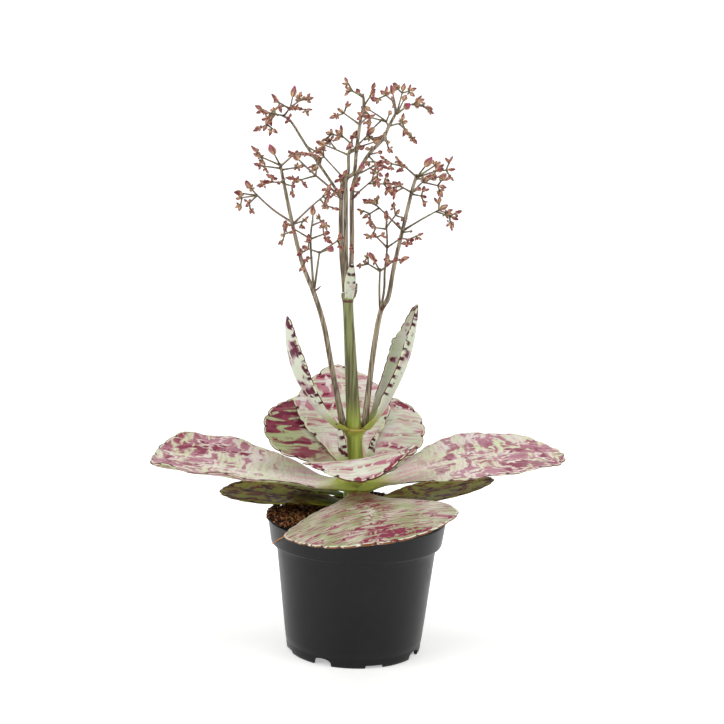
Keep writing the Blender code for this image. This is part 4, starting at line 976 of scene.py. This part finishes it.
def soil_height(x, y):
    """The ground's height: two slow waves, and a mound each by the left and the back of the rim."""
    left = np.clip(-x / 58.0, 0, None) ** 2 * np.exp(-((y + 8.0) / 34.0) ** 2)
    back = np.clip(y / 56.0, 0, None) ** 2 * np.exp(-((x - 8.0) / 32.0) ** 2)
    ripple = 0.7 * np.sin(0.21 * x + 1.0) * np.cos(0.17 * y) + 0.5 * np.sin(0.13 * (x + y))
    mounds = SOIL_MOUND * left + SOIL_BACK_MOUND * back
    return SOIL_TOP + mounds + ripple * np.clip(np.hypot(x, y) / 20.0, 0, 1)


def build_soil(material, columns=120):
    """Profile of the pot's inside, then rings inwards over the top, then the hole that holds the stem."""
    turn = around(columns)
    draw = np.random.default_rng(5)
    rings = [on_ring(radius, turn, z) for radius, z in SOIL_SIDE]
    for radius in np.linspace(57.0, 7.0, 46):
        rough = draw.uniform(-SOIL_ROUGH, SOIL_ROUGH, columns) if radius < SMOOTH_FROM else 0.0
        ground = soil_height(radius * np.cos(turn), radius * np.sin(turn))
        rings.append(on_ring(radius, turn, ground + rough))
    for z in (soil_height(6.0, 0.0), SOIL_HOLE_FLOOR):
        rings.append(on_ring(SOIL_HOLE_RADIUS, turn, z))
    points = np.concatenate([[[0, 0, SOIL_SIDE[0][1]]], *rings, [[0, 0, SOIL_HOLE_FLOOR]]])
    return put_mesh("fine_soil", points, *closed_faces(len(rings), columns), material=material)


print("the soil's height halfway to the left rim:", round(float(soil_height(-30.0, 0.0)), 1), "mm")

# %% [markdown]
# ## Crumbs
# Peat falls apart into lumps of very different sizes. A particle system could scatter them. Arrays do it
# in a few lines, the same in every run: they stretch, turn and place all the crumbs at once, and keep
# those below the rim's height inside the pot's wall.

# %% Crumbs
CRUMBS, RIM_CRUMBS = 2900, 300
CRUMB_ROWS, CRUMB_COLUMNS = 3, 6
POT_INSIDE, RIM_HEIGHT = 57.6, 90.3    # mm: below the rim's height no crumb reaches past this radius


def scatter_on_soil(draw, count, rim):
    """Places between the stem and the rim with an even share of the area, on the ground's formula."""
    radius = np.sqrt(draw.uniform(8.0 ** 2, rim ** 2, count))
    turn = draw.uniform(0, 2 * math.pi, count)
    return on_ring(radius, turn, soil_height(radius * np.cos(turn), radius * np.sin(turn)))


def places_on_rim(draw, count):
    """Places over the left of the rim, where the root ball stands proud: lower the further out they lie."""
    turn, out = np.radians(draw.uniform(158, 218, count)), draw.uniform(0, 1, count)
    return on_ring(55.0 + 6.0 * out, turn, 91.2 + (1 - out) * draw.uniform(0, 4.0, count))


def random_turns(draw, count):
    """Rotation matrices from unit quaternions with normally drawn parts."""
    q = draw.normal(size=(count, 4))
    w, x, y, z = (q / np.linalg.norm(q, axis=1, keepdims=True)).T
    rows = [[1 - 2 * (y * y + z * z), 2 * (x * y - z * w), 2 * (x * z + y * w)],
            [2 * (x * y + z * w), 1 - 2 * (x * x + z * z), 2 * (y * z - x * w)],
            [2 * (x * z - y * w), 2 * (y * z + x * w), 1 - 2 * (x * x + y * y)]]
    return np.moveaxis(np.array(rows), -1, 0)


def build_crumbs(material):
    """Each crumb is a ball of 20 points, pushed in or out by 30 %, stretched, turned and set down."""
    draw = np.random.default_rng(11)
    fall = np.linspace(0, math.pi, CRUMB_ROWS + 2)[1:-1]
    rings = [on_ring(np.sin(angle), around(CRUMB_COLUMNS), np.cos(angle)) for angle in fall]
    ball = np.concatenate([[[0, 0, 1]], *rings, [[0, 0, -1]]])
    count = CRUMBS + RIM_CRUMBS
    size = draw.uniform(0.4, 1.0, count) ** 2 * 1.2 + 0.2
    lumps = ball[None] * draw.uniform(0.7, 1.3, (count, len(ball), 1))
    lumps = lumps * (size[:, None] * draw.uniform(0.45, 1.25, (count, 3)))[:, None]
    lumps = np.einsum("nij,npj->npi", random_turns(draw, count), lumps)
    places = np.concatenate([scatter_on_soil(draw, CRUMBS, 57.0), places_on_rim(draw, RIM_CRUMBS)])
    places[:, 2] += size * 0.25
    points = (lumps + places[:, None]).reshape(-1, 3)
    limit = POT_INSIDE / np.maximum(POT_INSIDE, np.hypot(points[:, 0], points[:, 1]))
    points[:, :2] *= np.where(points[:, 2] < RIM_HEIGHT, limit, 1.0)[:, None]
    first = np.arange(count)[:, None, None] * len(ball)
    # the balls run from their upper to their lower pole, so their faces are listed the other way round
    quads, tris = ((faces[None, :, ::-1] + first).reshape(-1, faces.shape[1])
                   for faces in closed_faces(CRUMB_ROWS, CRUMB_COLUMNS))
    tone = np.repeat(draw.uniform(0, 1, count) ** 1.6, len(ball))
    return put_mesh("soil_crumbs", points, quads, tris, {"tone": tone}, material)


print("crumbs on the soil and over the rim:", CRUMBS, RIM_CRUMBS)

# %% [markdown]
# ## Fibres and the soil's finish
# Coir is the hairy husk of a coconut. Its threads are curled tubes, so thin that four sides are enough,
# and one loose thread hangs over the pot's skirt. Hair curves could do too, but tubes are meshes, which
# other programs can read. Dry peat and coir hardly shine. Their finish is a high roughness with four
# colours, chosen by a noise and by the tone that each crumb and thread carries.

# %% Fibres
FIBRES, FIBRE_STEPS = 900, 6
LOOSE_FIBRE = [(-41, -33, 90.6), (-45.5, -38.4, 88.4), (-48, -35.9, 84.2), (-51, -31, 81.4),
               (-53.6, -25.2, 78.0), (-56.2, -17.5, 74.6)]


def build_fibres(material):
    """Each fibre is a thin four-sided tube along a short curl that leaves the ground and comes back."""
    draw = np.random.default_rng(23)
    shapes = Shapes()
    x = np.linspace(0, 1, FIBRE_STEPS)
    for start in scatter_on_soil(draw, FIBRES, 55.0):
        length, bearing = draw.uniform(1.5, 5.0) ** 1.2, draw.uniform(0, 2 * math.pi)
        bend = bearing + draw.uniform(-1.6, 1.6) * x
        rise = draw.uniform(0.4, 2.0) * np.sin(math.pi * x) + 0.5
        route = start + on_ring(x * length, bend, rise)
        radii = np.full(FIBRE_STEPS, draw.uniform(0.12, 0.28))
        shapes.take(tube_points(route, radii, 4), FIBRE_STEPS, 4, tone=draw.uniform(0, 1))
    loose = smooth_route(LOOSE_FIBRE, 14)
    shapes.take(tube_points(loose, np.linspace(0.45, 0.25, 14), 5), 14, 5, tone=0.5)
    return shapes.put("soil_fibres", material)


# %% Soil finishes
def soil_recipe(*colours):
    """A noise 1.4 mm wide and each crumb's own tone choose between four colours, dark to pale."""
    recipe = [("place", "PLACE"), ("noise", "NOISE", "place", 700.0, 4.0),
              ("both", "MULTIPLY_ADD", "noise", 0.6, "tone"), ("Normal", "RELIEF", "noise", 0.7, 0.0008)]
    below = colours[0]
    for low, high, colour in zip((0.3, 0.4875, 0.675), (0.4875, 0.675, 1.0), colours[1:]):
        recipe += [("share", "RAMP", "both", low, high), ("Base Color", "MIX", "share", below, colour)]
        below = "Base Color"
    return recipe


# Dry peat: dark and quite dull, with orange-brown crumbs among the nearly black ones
peat = new_material("peat_and_coir", {"Roughness": 0.95},
                    soil_recipe("#120c09", "#24170f", "#4a2c1a", "#a8663a"), ["tone"])
# Coir: tan threads with a faint sheen
coir = new_material("coir_fibre", {"Roughness": 0.8},
                    soil_recipe("#4a2714", "#8a4a22", "#b86c34", "#d9a066"), ["tone"])
finish_piece(build_soil(peat), "soil", "soil")
finish_piece(build_crumbs(peat), "soil")
finish_piece(build_fibres(coir), "soil")

# %% [markdown]
# ## Flower stems and their arms
# Five flower stems carry the buds: one from each side of the cup and three from the node at the top.
# Every stem, and every arm that leaves one, is a route of a few points, in mm, fitted to the photograph. A
# grown shape could be left to chance, but then no bud would stand where the real one does. A stem's entry
# ends with its radii at foot and end, and an arm's with the number of buds counted on it and about the
# length of the one at its end.

# %% Stem routes
LEFT_STEMS = [
    ([(-11.3, -1, 152.6), (-19, -1, 187), (-26, -2, 220), (-33, -3, 241), (-41, -4, 260), (-48, -5, 285),
      (-54, -7, 311), (-57, -8, 325)], 2.05, 1.0),
    ([(-33, -3, 241), (-34, -8, 252), (-35, -9, 263), (-36, -9, 278), (-35, -8, 290)], 0.9, 0.6),
    ([(-33, -3, 243), (-32, -2, 252), (-31, -3, 261), (-30, -4, 269)], 0.8, 0.6),
    ([(-48, -5, 287), (-61, -4, 295), (-73, -2, 305)], 0.8, 0.6),
]
RIGHT_STEMS = [
    ([(2.9, -1, 152.3), (7, -1, 200), (11, -2, 229), (16, -2, 240), (19, -3, 260), (24, -4, 285),
      (29, -6, 310), (32, -6, 321)], 2.05, 1.0),
    ([(11, -2, 230), (13, -8, 245), (13, -9, 257), (14, -10, 274), (13, -10, 289)], 0.9, 0.6),
    ([(11, -2, 229), (10, -1, 244), (10, -2, 259)], 0.8, 0.6),
]
CENTRE_STEMS = [
    ([(-12.6, 0.4, 242.5), (-16, 2, 270), (-17, 2, 304), (-16, 5, 317), (-13, 7, 321), (-13, 9, 333),
      (-11, 9, 340)], 1.7, 0.9),
    ([(-11.2, -1.2, 242.5), (-13, 0, 270), (-14, 2, 303), (-14, 0, 316), (-9, -2, 321), (-8, -5, 333),
      (-6, -8, 353), (-4, -11, 364), (-5, -11, 371)], 1.7, 0.9),
    ([(-9.6, 0.6, 242.4), (-9, 3, 270), (-10, 2, 304), (-9, 1, 314), (-5, 3, 324), (1, 6, 334), (9, 8, 343),
      (13, 11, 352), (18, 11, 362)], 1.7, 1.0),
    ([(-17, 2, 303), (-21, 7, 310), (-41, 16, 337), (-52, 19, 353), (-58, 22, 357)], 1.1, 0.7),
    ([(-17, 2, 304), (-25, 0, 311), (-35, -3, 319), (-42, -8, 325)], 0.8, 0.6),
]
print("stems and side stems:", len(LEFT_STEMS), len(RIGHT_STEMS), len(CENTRE_STEMS))

# %% Arm routes
LEFT_ARMS = [
    ([(-57, -8, 324), (-60, -14, 330)], 1, 9), ([(-57, -8, 324), (-70, 2, 329)], 8, 6.5),
    ([(-57, -8, 322), (-67, -26, 323)], 4, 4.5), ([(-57, -8, 323), (-47, -26, 331)], 5, 5),
    ([(-56, -8, 321), (-47, 6, 323)], 4, 4.5), ([(-54, -7, 313), (-62, -19, 313)], 7, 6),
    ([(-54, -7, 315), (-56, -22, 313)], 1, 5.5), ([(-54, -7, 312), (-48, -25, 311)], 6, 5),
    ([(-72, -2, 304), (-76, 2, 308)], 3, 7.5), ([(-72, -2, 304), (-80, -10, 305)], 1, 7),
    ([(-72, -2, 304), (-83, 9, 302)], 4, 5), ([(-72, -2, 304), (-76, -14, 299)], 4, 4.5),
    ([(-48, -5, 286), (-37, -14, 297), (-28, -21, 305)], 8, 5), ([(-30, -20, 303), (-27, -12, 299)], 4, 4.5),
    ([(-48, -5, 285), (-51, -18, 287)], 2, 6), ([(-47, -5, 282), (-54, 6, 279)], 5, 4.5),
    ([(-48, -5, 286), (-42, 10, 288)], 4, 4), ([(-35, -8, 288), (-35, -7, 291)], 1, 8),
    ([(-36, -9, 277), (-45, -23, 283)], 2, 4), ([(-36, -9, 277), (-27, -24, 281)], 7, 6),
    ([(-35, -8, 286), (-30, 3, 288)], 5, 4.5), ([(-35, -9, 265), (-38, -21, 264)], 4, 5),
    ([(-30, -4, 268), (-37, -17, 271)], 5, 6.5), ([(-30, -4, 268), (-24, -21, 271)], 1, 8),
    ([(-30, -4, 268), (-18, -22, 277)], 4, 5.5),
]
RIGHT_ARMS = [
    ([(32, -6, 319), (36, -10, 325)], 1, 9), ([(32, -6, 319), (23, -12, 326)], 6, 5),
    ([(25, -11, 325), (15, -20, 327)], 5, 5.5), ([(32, -6, 319), (43, -19, 323)], 4, 6.5),
    ([(42, -18, 323), (50, -22, 324)], 5, 5), ([(32, -6, 319), (44, 10, 327)], 3, 6),
    ([(32, -6, 318), (43, 14, 318)], 6, 5), ([(29, -6, 309), (21, -12, 313)], 4, 6),
    ([(23, -11, 312), (18, -22, 309)], 3, 6), ([(29, -6, 309), (32, -19, 311)], 1, 7),
    ([(29, -6, 309), (37, 4, 317)], 2, 6), ([(36, 3, 316), (46, -3, 314)], 6, 5),
    ([(29, -6, 308), (35, -16, 307)], 5, 5), ([(24, -4, 284), (13, 6, 294), (6, 12, 300)], 6, 6.5),
    ([(8, 10, 298), (2, 12, 294)], 5, 4.5), ([(24, -4, 284), (37, 4, 292), (48, 12, 298)], 6, 7),
    ([(46, 10, 297), (55, 6, 294)], 6, 5), ([(24, -4, 284), (21, -17, 288)], 1, 5),
    ([(24, -4, 283), (28, -14, 284)], 1, 4), ([(23, -4, 279), (28, -16, 279)], 6, 6),
    ([(13, -10, 286), (13, -11, 291)], 3, 5.5), ([(13, -10, 285), (6, -20, 286)], 5, 4),
    ([(14, -10, 273), (7, -20, 280)], 5, 5), ([(14, -10, 273), (20, -20, 278)], 1, 4),
    ([(13, -10, 286), (19, -1, 294)], 5, 5), ([(10, -2, 257), (6, -9, 264)], 2, 8),
    ([(10, -2, 257), (2, 7, 261)], 5, 4.5), ([(10, -2, 257), (18, -24, 265)], 7, 6.5),
]
CENTRE_ARMS = [
    ([(-36, 14, 330), (-41, 28, 332)], 4, 5.5), ([(-41, 16, 337), (-35, 4, 334)], 4, 5.5),
    ([(-33, 13, 326), (-36, 24, 325)], 3, 5), ([(-52, 19, 353), (-53, 8, 354)], 3, 5),
    ([(-57, 22, 357), (-53, 22, 363), (-52, 22, 368)], 1, 8.5), ([(-54, 22, 362), (-47, 32, 368)], 7, 5.5),
    ([(-54, 22, 362), (-60, 10, 365)], 4, 6), ([(-57, 22, 357), (-66, 13, 358)], 6, 6.5),
    ([(-61, 18, 357), (-65, 31, 360)], 4, 6), ([(-63, 16, 357), (-67, 8, 350)], 5, 6),
    ([(-54, 22, 361), (-47, 9, 361)], 6, 5), ([(-41, -7, 324), (-44, -10, 327)], 1, 8.5),
    ([(-34, -3, 318), (-43, -15, 315)], 5, 6), ([(-34, -3, 318), (-34, 8, 322)], 2, 5.5),
    ([(-25, 0, 311), (-25, -11, 309)], 2, 4.5), ([(-16, 5, 316), (-19, 16, 320), (-30, 26, 331)], 8, 5.5),
    ([(-13, 9, 332), (-20, 15, 335), (-28, 20, 338)], 1, 8), ([(-22, 16, 336), (-26, 26, 341)], 3, 5.5),
    ([(-13, 9, 333), (-7, 0, 336)], 2, 7), ([(-12, 9, 335), (-6, 18, 338), (2, 24, 341)], 1, 8.5),
    ([(-11, 9, 339), (-18, 18, 345)], 3, 7), ([(-17, 17, 344), (-25, 25, 346)], 4, 5.5),
    ([(-11, 9, 338), (-11, -4, 342)], 4, 6.5), ([(-9, 13, 337), (-1, 24, 346)], 6, 6),
    ([(-3, 21, 343), (6, 27, 345)], 1, 5.5), ([(-7, -8, 352), (-17, 2, 359)], 6, 5.5),
    ([(-6, -8, 352), (-2, -24, 355)], 4, 6), ([(-5, -11, 369), (-12, -6, 373)], 5, 5.5),
    ([(-5, -11, 369), (-7, -19, 371)], 1, 6.5), ([(-4, -11, 363), (0, -18, 369)], 5, 5.5),
    ([(1, 6, 334), (2, 18, 337)], 2, 5.5), ([(1, 6, 333), (6, -7, 334)], 1, 7),
    ([(0, 6, 332), (4, -7, 328)], 5, 5), ([(9, 8, 343), (12, 22, 342)], 5, 5.5),
    ([(13, 11, 351), (10, 18, 356), (1, 26, 362)], 1, 7), ([(11, 16, 355), (1, 10, 357)], 5, 6),
    ([(9, 19, 357), (4, 22, 352)], 1, 7.5), ([(11, 16, 355), (13, 28, 360)], 1, 7),
    ([(13, 11, 352), (22, 26, 355)], 4, 6), ([(20, 22, 354), (26, 32, 349)], 6, 5.5),
    ([(18, 11, 360), (15, 2, 371)], 1, 8), ([(16, 5, 367), (10, -3, 371)], 4, 5.5),
    ([(17, 10, 360), (16, 21, 367)], 3, 5), ([(18, 11, 360), (22, 25, 369)], 1, 7.5),
    ([(18, 11, 361), (21, 15, 374)], 7, 5.5), ([(18, 11, 360), (22, 1, 363)], 1, 8.5),
    ([(18, 11, 360), (24, 18, 365), (30, 22, 368)], 3, 7), ([(28, 21, 367), (36, 25, 366)], 6, 5),
    ([(-10, 2, 303), (-8, 8, 306), (3, 18, 316)], 6, 5.5), ([(1, 16, 314), (11, 12, 314)], 5, 6.5),
    ([(-10, 0, 319), (-4, -11, 321), (3, -14, 325)], 5, 6), ([(-4, -11, 321), (-4, -17, 323)], 1, 8),
    ([(1, -13, 324), (6, -20, 321)], 4, 6), ([(-9, 1, 314), (-8, -13, 313)], 3, 6.5),
    ([(-10, 1, 309), (-7, 13, 308)], 1, 6), ([(-15, 3, 313), (-17, -11, 317)], 3, 6),
    ([(-16, 2, 308), (-19, -11, 309)], 3, 5.5), ([(-9, 3, 271), (-9, -7, 273)], 2, 4.5),
]
LEFT_BRACTS = [((-33, -3, 242), (-28, -9, 247), 2.4)]
RIGHT_BRACTS = [((11, -2, 230), (15, -9, 236), 2.4)]
CENTRE_BRACTS = [((-16, 1, 303), (-27, -5, 308), 3.0), ((-10, 1, 303), (-5, -9, 309), 3.0)]
print("counted buds:", [sum(arm[1] for arm in arms) for arms in (LEFT_ARMS, RIGHT_ARMS, CENTRE_ARMS)])

# %% [markdown]
# ## The shape of a bud
# A bud is a four-angled flask: a pale base in four small sepals, a rosy swollen middle and a pointed,
# slightly twisted tip. One modelled bud could be copied, but computed ones can each have a length, a girth
# and a twist of their own. Each has only a few dozen faces, because a spray has a hundred or more.

# %% Bud shapes
STALK_RADIUS = (0.68, 0.48)                             # mm, at a stalk's foot and end
LEAST_BUD, LEAST_SIDE_BUD, YOUNG_BUD = 2.3, 3.2, 2.4    # mm long
BUD_GIRTH, BUD_ROUNDING = 0.235, 0.012                  # shares of the length, the second a mm under 6 mm
CYME_REACH, FORK_SHARE = 4.6, 0.72                      # mm, and how much shorter each next fork is
# A bud's radius as a share of its girth, at shares of its length
BUD_PROFILE = np.array([(0.42, 0.04), (0.72, 0.13), (0.98, 0.3), (1.0, 0.45), (0.8, 0.64), (0.5, 0.82),
                        (0.2, 0.96)])
BRACT_RINGS = ((0.05, 0.7), (0.35, 1.0), (0.75, 0.6))   # shares of the length and of the width
BRACT_HALF_THICKNESS = 0.22
BUD_RIBS, BUD_COLUMNS, STALK_COLUMNS, BRACT_COLUMNS = 0.13, 8, 6, 6


def turned_away(direction, angle, spin):
    """The direction leaned away by an angle, towards the side that spin (degrees) picks."""
    along, first, second = frame_for(direction)
    side = first * math.cos(math.radians(spin)) + second * math.sin(math.radians(spin))
    return along * math.cos(math.radians(angle)) + side * math.sin(math.radians(angle))


def bud_points(place, direction, length, girth, twist):
    """Profile times 1 plus a cosine of four times the angle, turned a little further towards the tip."""
    along, first, second = frame_for(direction)
    wide, far = BUD_PROFILE[:, :1], BUD_PROFILE[:, 1:]
    corner = around(BUD_COLUMNS)
    turn = corner + twist + 0.9 * far ** 2
    radius = wide * girth * (1 + BUD_RIBS * np.cos(4 * corner))
    grid = (place + along * (far * length)[..., None]
            + first * (radius * np.cos(turn))[..., None] + second * (radius * np.sin(turn))[..., None])
    return np.concatenate([[place], grid.reshape(-1, 3), [place + along * length]])


print("points in a bud:", len(BUD_PROFILE) * BUD_COLUMNS + 2)

# %% [markdown]
# ## Growing a spray
# A flower group grows by one rule, so the code is that rule. A shoot ends in a bud. The buds that are left
# are shared between two side shoots, each a little shorter and with smaller buds, until each carries one.
# A fixed seed picks the angles, so that every run grows the same plant. The youngest buds have a random
# stream of their own, so that they don't disturb the others.

# %% Spray
class Spray:
    """Two collections of closed shapes: the stalks and the buds."""

    def __init__(self, seed):
        self.stalks, self.buds, self.bud_count = Shapes(), Shapes(), 0
        self.draw, self.young_draw = random.Random(seed), random.Random(seed + 1)

    def stalk(self, route, thick, thin, columns=STALK_COLUMNS, steps=6):
        """A tube along a smooth route, swollen by a quarter at its foot."""
        x = np.linspace(0, 1, steps)
        radii = (thick + (thin - thick) * x) * (1 + 0.25 * np.exp(-(x / 0.04) ** 2))
        self.stalks.take(tube_points(smooth_route(route, steps), radii, columns), steps, columns,
                         girth=float(thick), tone=self.draw.uniform(0, 1))

    def bud(self, place, direction, size, draw=None):
        """A bud, the smaller the rounder, with its own tone between 0 and 1."""
        draw = draw or self.draw
        length = max(size, LEAST_BUD) * draw.uniform(0.92, 1.1)
        girth = length * (BUD_GIRTH + BUD_ROUNDING * max(0.0, 6.0 - size)) * draw.uniform(0.94, 1.1)
        points = bud_points(place, direction, length, girth, draw.uniform(0, 1.6))
        rows = len(BUD_PROFILE)
        along = np.concatenate([[0], np.repeat(BUD_PROFILE[:, 1], BUD_COLUMNS), [1]])
        seam = np.concatenate([[0], np.tile([0.0, 1.0], rows * BUD_COLUMNS // 2), [1]])
        self.buds.take(points, rows, BUD_COLUMNS, along=along, tone=draw.uniform(0, 1), size=float(size),
                       seam=seam)
        self.bud_count += 1

    def young_buds(self, place, direction):
        """Two or three of the smallest buds, close together on the side of a shoot."""
        draw = self.young_draw
        for _ in range(draw.choice((2, 3))):
            away = turned_away(direction, draw.uniform(50, 85), draw.uniform(0, 360))
            self.bud(place + away * draw.uniform(0.2, 0.9), away, YOUNG_BUD, draw)

    def bract(self, place, direction, length, width):
        """A small flat scale: thin rings, widest at a third of its length, that close in a point."""
        along, first, second = frame_for(direction)
        turn = around(BRACT_COLUMNS)[:, None]
        rings = [place + along * length * x + first * np.cos(turn) * width / 2 * wide
                 + second * np.sin(turn) * BRACT_HALF_THICKNESS for x, wide in BRACT_RINGS]
        points = np.concatenate([[place], *rings, [place + along * length]])
        self.buds.take(points, len(BRACT_RINGS), BRACT_COLUMNS, along=0.9, tone=0.1, size=4.0, seam=1.0)

    def shoot(self, route, size):
        """A stalk that ends in a bud."""
        self.stalk(route, *STALK_RADIUS, steps=5)
        end, before = np.asarray(route[-1], float), np.asarray(route[-2], float)
        self.bud(end, end - before, size)

    def cyme(self, route, buds, size, reach):
        """One bud ends the shoot, and the others are shared between two side shoots that fork again."""
        draw = self.draw
        fork = np.asarray(route[-1], float)
        heading_on = fork - np.asarray(route[-2], float)
        heading_on /= np.linalg.norm(heading_on)
        self.shoot(list(route[:-1]) + [fork + heading_on * 1.2], size)
        rest, spin = buds - 1, draw.uniform(0, 180)
        for k, share in enumerate((math.ceil(rest / 2), rest // 2)):
            if share == 0:
                continue
            away = turned_away(heading_on, draw.uniform(42, 68), spin + 180 * k + draw.uniform(-20, 20))
            small = max(LEAST_SIDE_BUD, size * draw.uniform(0.72, 0.9))
            length = reach * (draw.uniform(0.3, 0.5) if share == 1 else draw.uniform(0.8, 1.05))
            bowed = fork + away * length * 0.55 - heading_on * length * 0.05
            side = [fork - away * 0.3, bowed, fork + away * length]
            self.bract(fork, away - heading_on * 0.4, 1.5, 1.0)
            if share == 1:
                self.shoot(side, small)
                self.young_buds(bowed, away)
            else:
                self.cyme(side, share, small, reach * FORK_SHARE)


# %% Whole spray
def build_spray(side, seed, stems, arms, bracts):
    """Stems and arms first, then the forking groups at the arms' ends."""
    spray = Spray(seed)
    for route, thick, thin in stems:
        spray.stalk(route, thick, thin, columns=10, steps=6 * len(route))
    for route, buds, size in arms:
        spray.cyme(route, buds, size, CYME_REACH)
    for start, end, width in bracts:
        start, end = np.array(start, float), np.array(end, float)
        spray.bract(start, end - start, np.linalg.norm(end - start), width)
    stalks = spray.stalks.put(f"fine_spray_{side}_stalks", stalk_finish)
    buds = spray.buds.put(f"fine_spray_{side}_buds", bud_finish)
    print(side, "spray:", spray.bud_count, "buds")
    finish_piece(stalks, "spray_buds", f"spray_{side}")
    finish_piece(buds, "spray_buds", f"spray_{side}")

# %% [markdown]
# ## Finish of stalks and buds
# Thick flower stems are grey-green with brownish streaks, and the finest stalks are olive-brown. A bud's
# colour runs from tan at its foot through dusty rose to a dark, sometimes magenta, tip, and every bud has
# a tone of its own. Both skins are dull satin.

# %% Stalk and bud finishes
# Dull stem skin: streaks run up it, and the girth, in mm, chooses between the thick and thin colours
stalk_finish = new_material("dull_flower_stem", {"Roughness": 0.5}, [
    ("place", "PLACE"), ("thick", "RAMP", "girth", 0.6, 1.3),
    ("streaks", "SCALE", "place", (900, 900, 60)),
    ("streaks", "NOISE", "streaks", 1.0, 3.0), ("streaks", "STEP", "streaks", 0.42, 0.6),
    ("pale", "MIX", "thick", "#7a7144", "#a89a80"),
    ("dark", "MIX", "thick", "#44301c", "#5e4e3c"),
    ("skin", "MIX", "streaks", "pale", "dark"),
    ("rosy", "STEP", "tone", 0.6, 1.0, 0.0, 0.45),
    ("Base Color", "MIX", "rosy", "skin", "#a07c78")], ["girth", "tone"])
# Soft bud skin: foot to tip along the bud, with blotches 2 mm wide and dark seams between the sepals;
# the flesh lets a little light through
bud_finish = new_material("dusty_rose_bud", {"Roughness": 0.52, "Subsurface Weight": 0.05,
                                             "Subsurface Scale": 0.001}, [
    ("place", "PLACE"), ("blotch", "NOISE", "place", 500.0, 3.0),
    ("where", "MULTIPLY_ADD", "blotch", 0.5, "along"),
    ("body", "MIX", "tone", "#822e30", "#cb9282"),
    ("foot", "STEP", "where", 0.85, 0.5),
    ("skin", "MIX", "foot", "body", "#d8b288"),
    ("seam", "STEP", "seam", 0.4, 0.95, 0.0, 0.9),
    ("skin", "MIX", "seam", "skin", "#6e2a2c"),
    ("tip", "STEP", "where", 0.92, 1.15),
    ("large", "RAMP", "size", 7.0, 8.5),
    ("end", "MIX", "large", "#5c1f24", "#a8386a"),
    ("Base Color", "MIX", "tip", "skin", "end"),
    ("Normal", "RELIEF", "blotch", 0.3, 0.0004)], ["along", "tone", "size", "seam"])
print("flower finishes:", stalk_finish.name, bud_finish.name)

# %% Make the sprays
build_spray("left", 9, LEFT_STEMS, LEFT_ARMS, LEFT_BRACTS)
build_spray("right", 16, RIGHT_STEMS, RIGHT_ARMS, RIGHT_BRACTS)
build_spray("centre", 48, CENTRE_STEMS, CENTRE_ARMS, CENTRE_BRACTS)
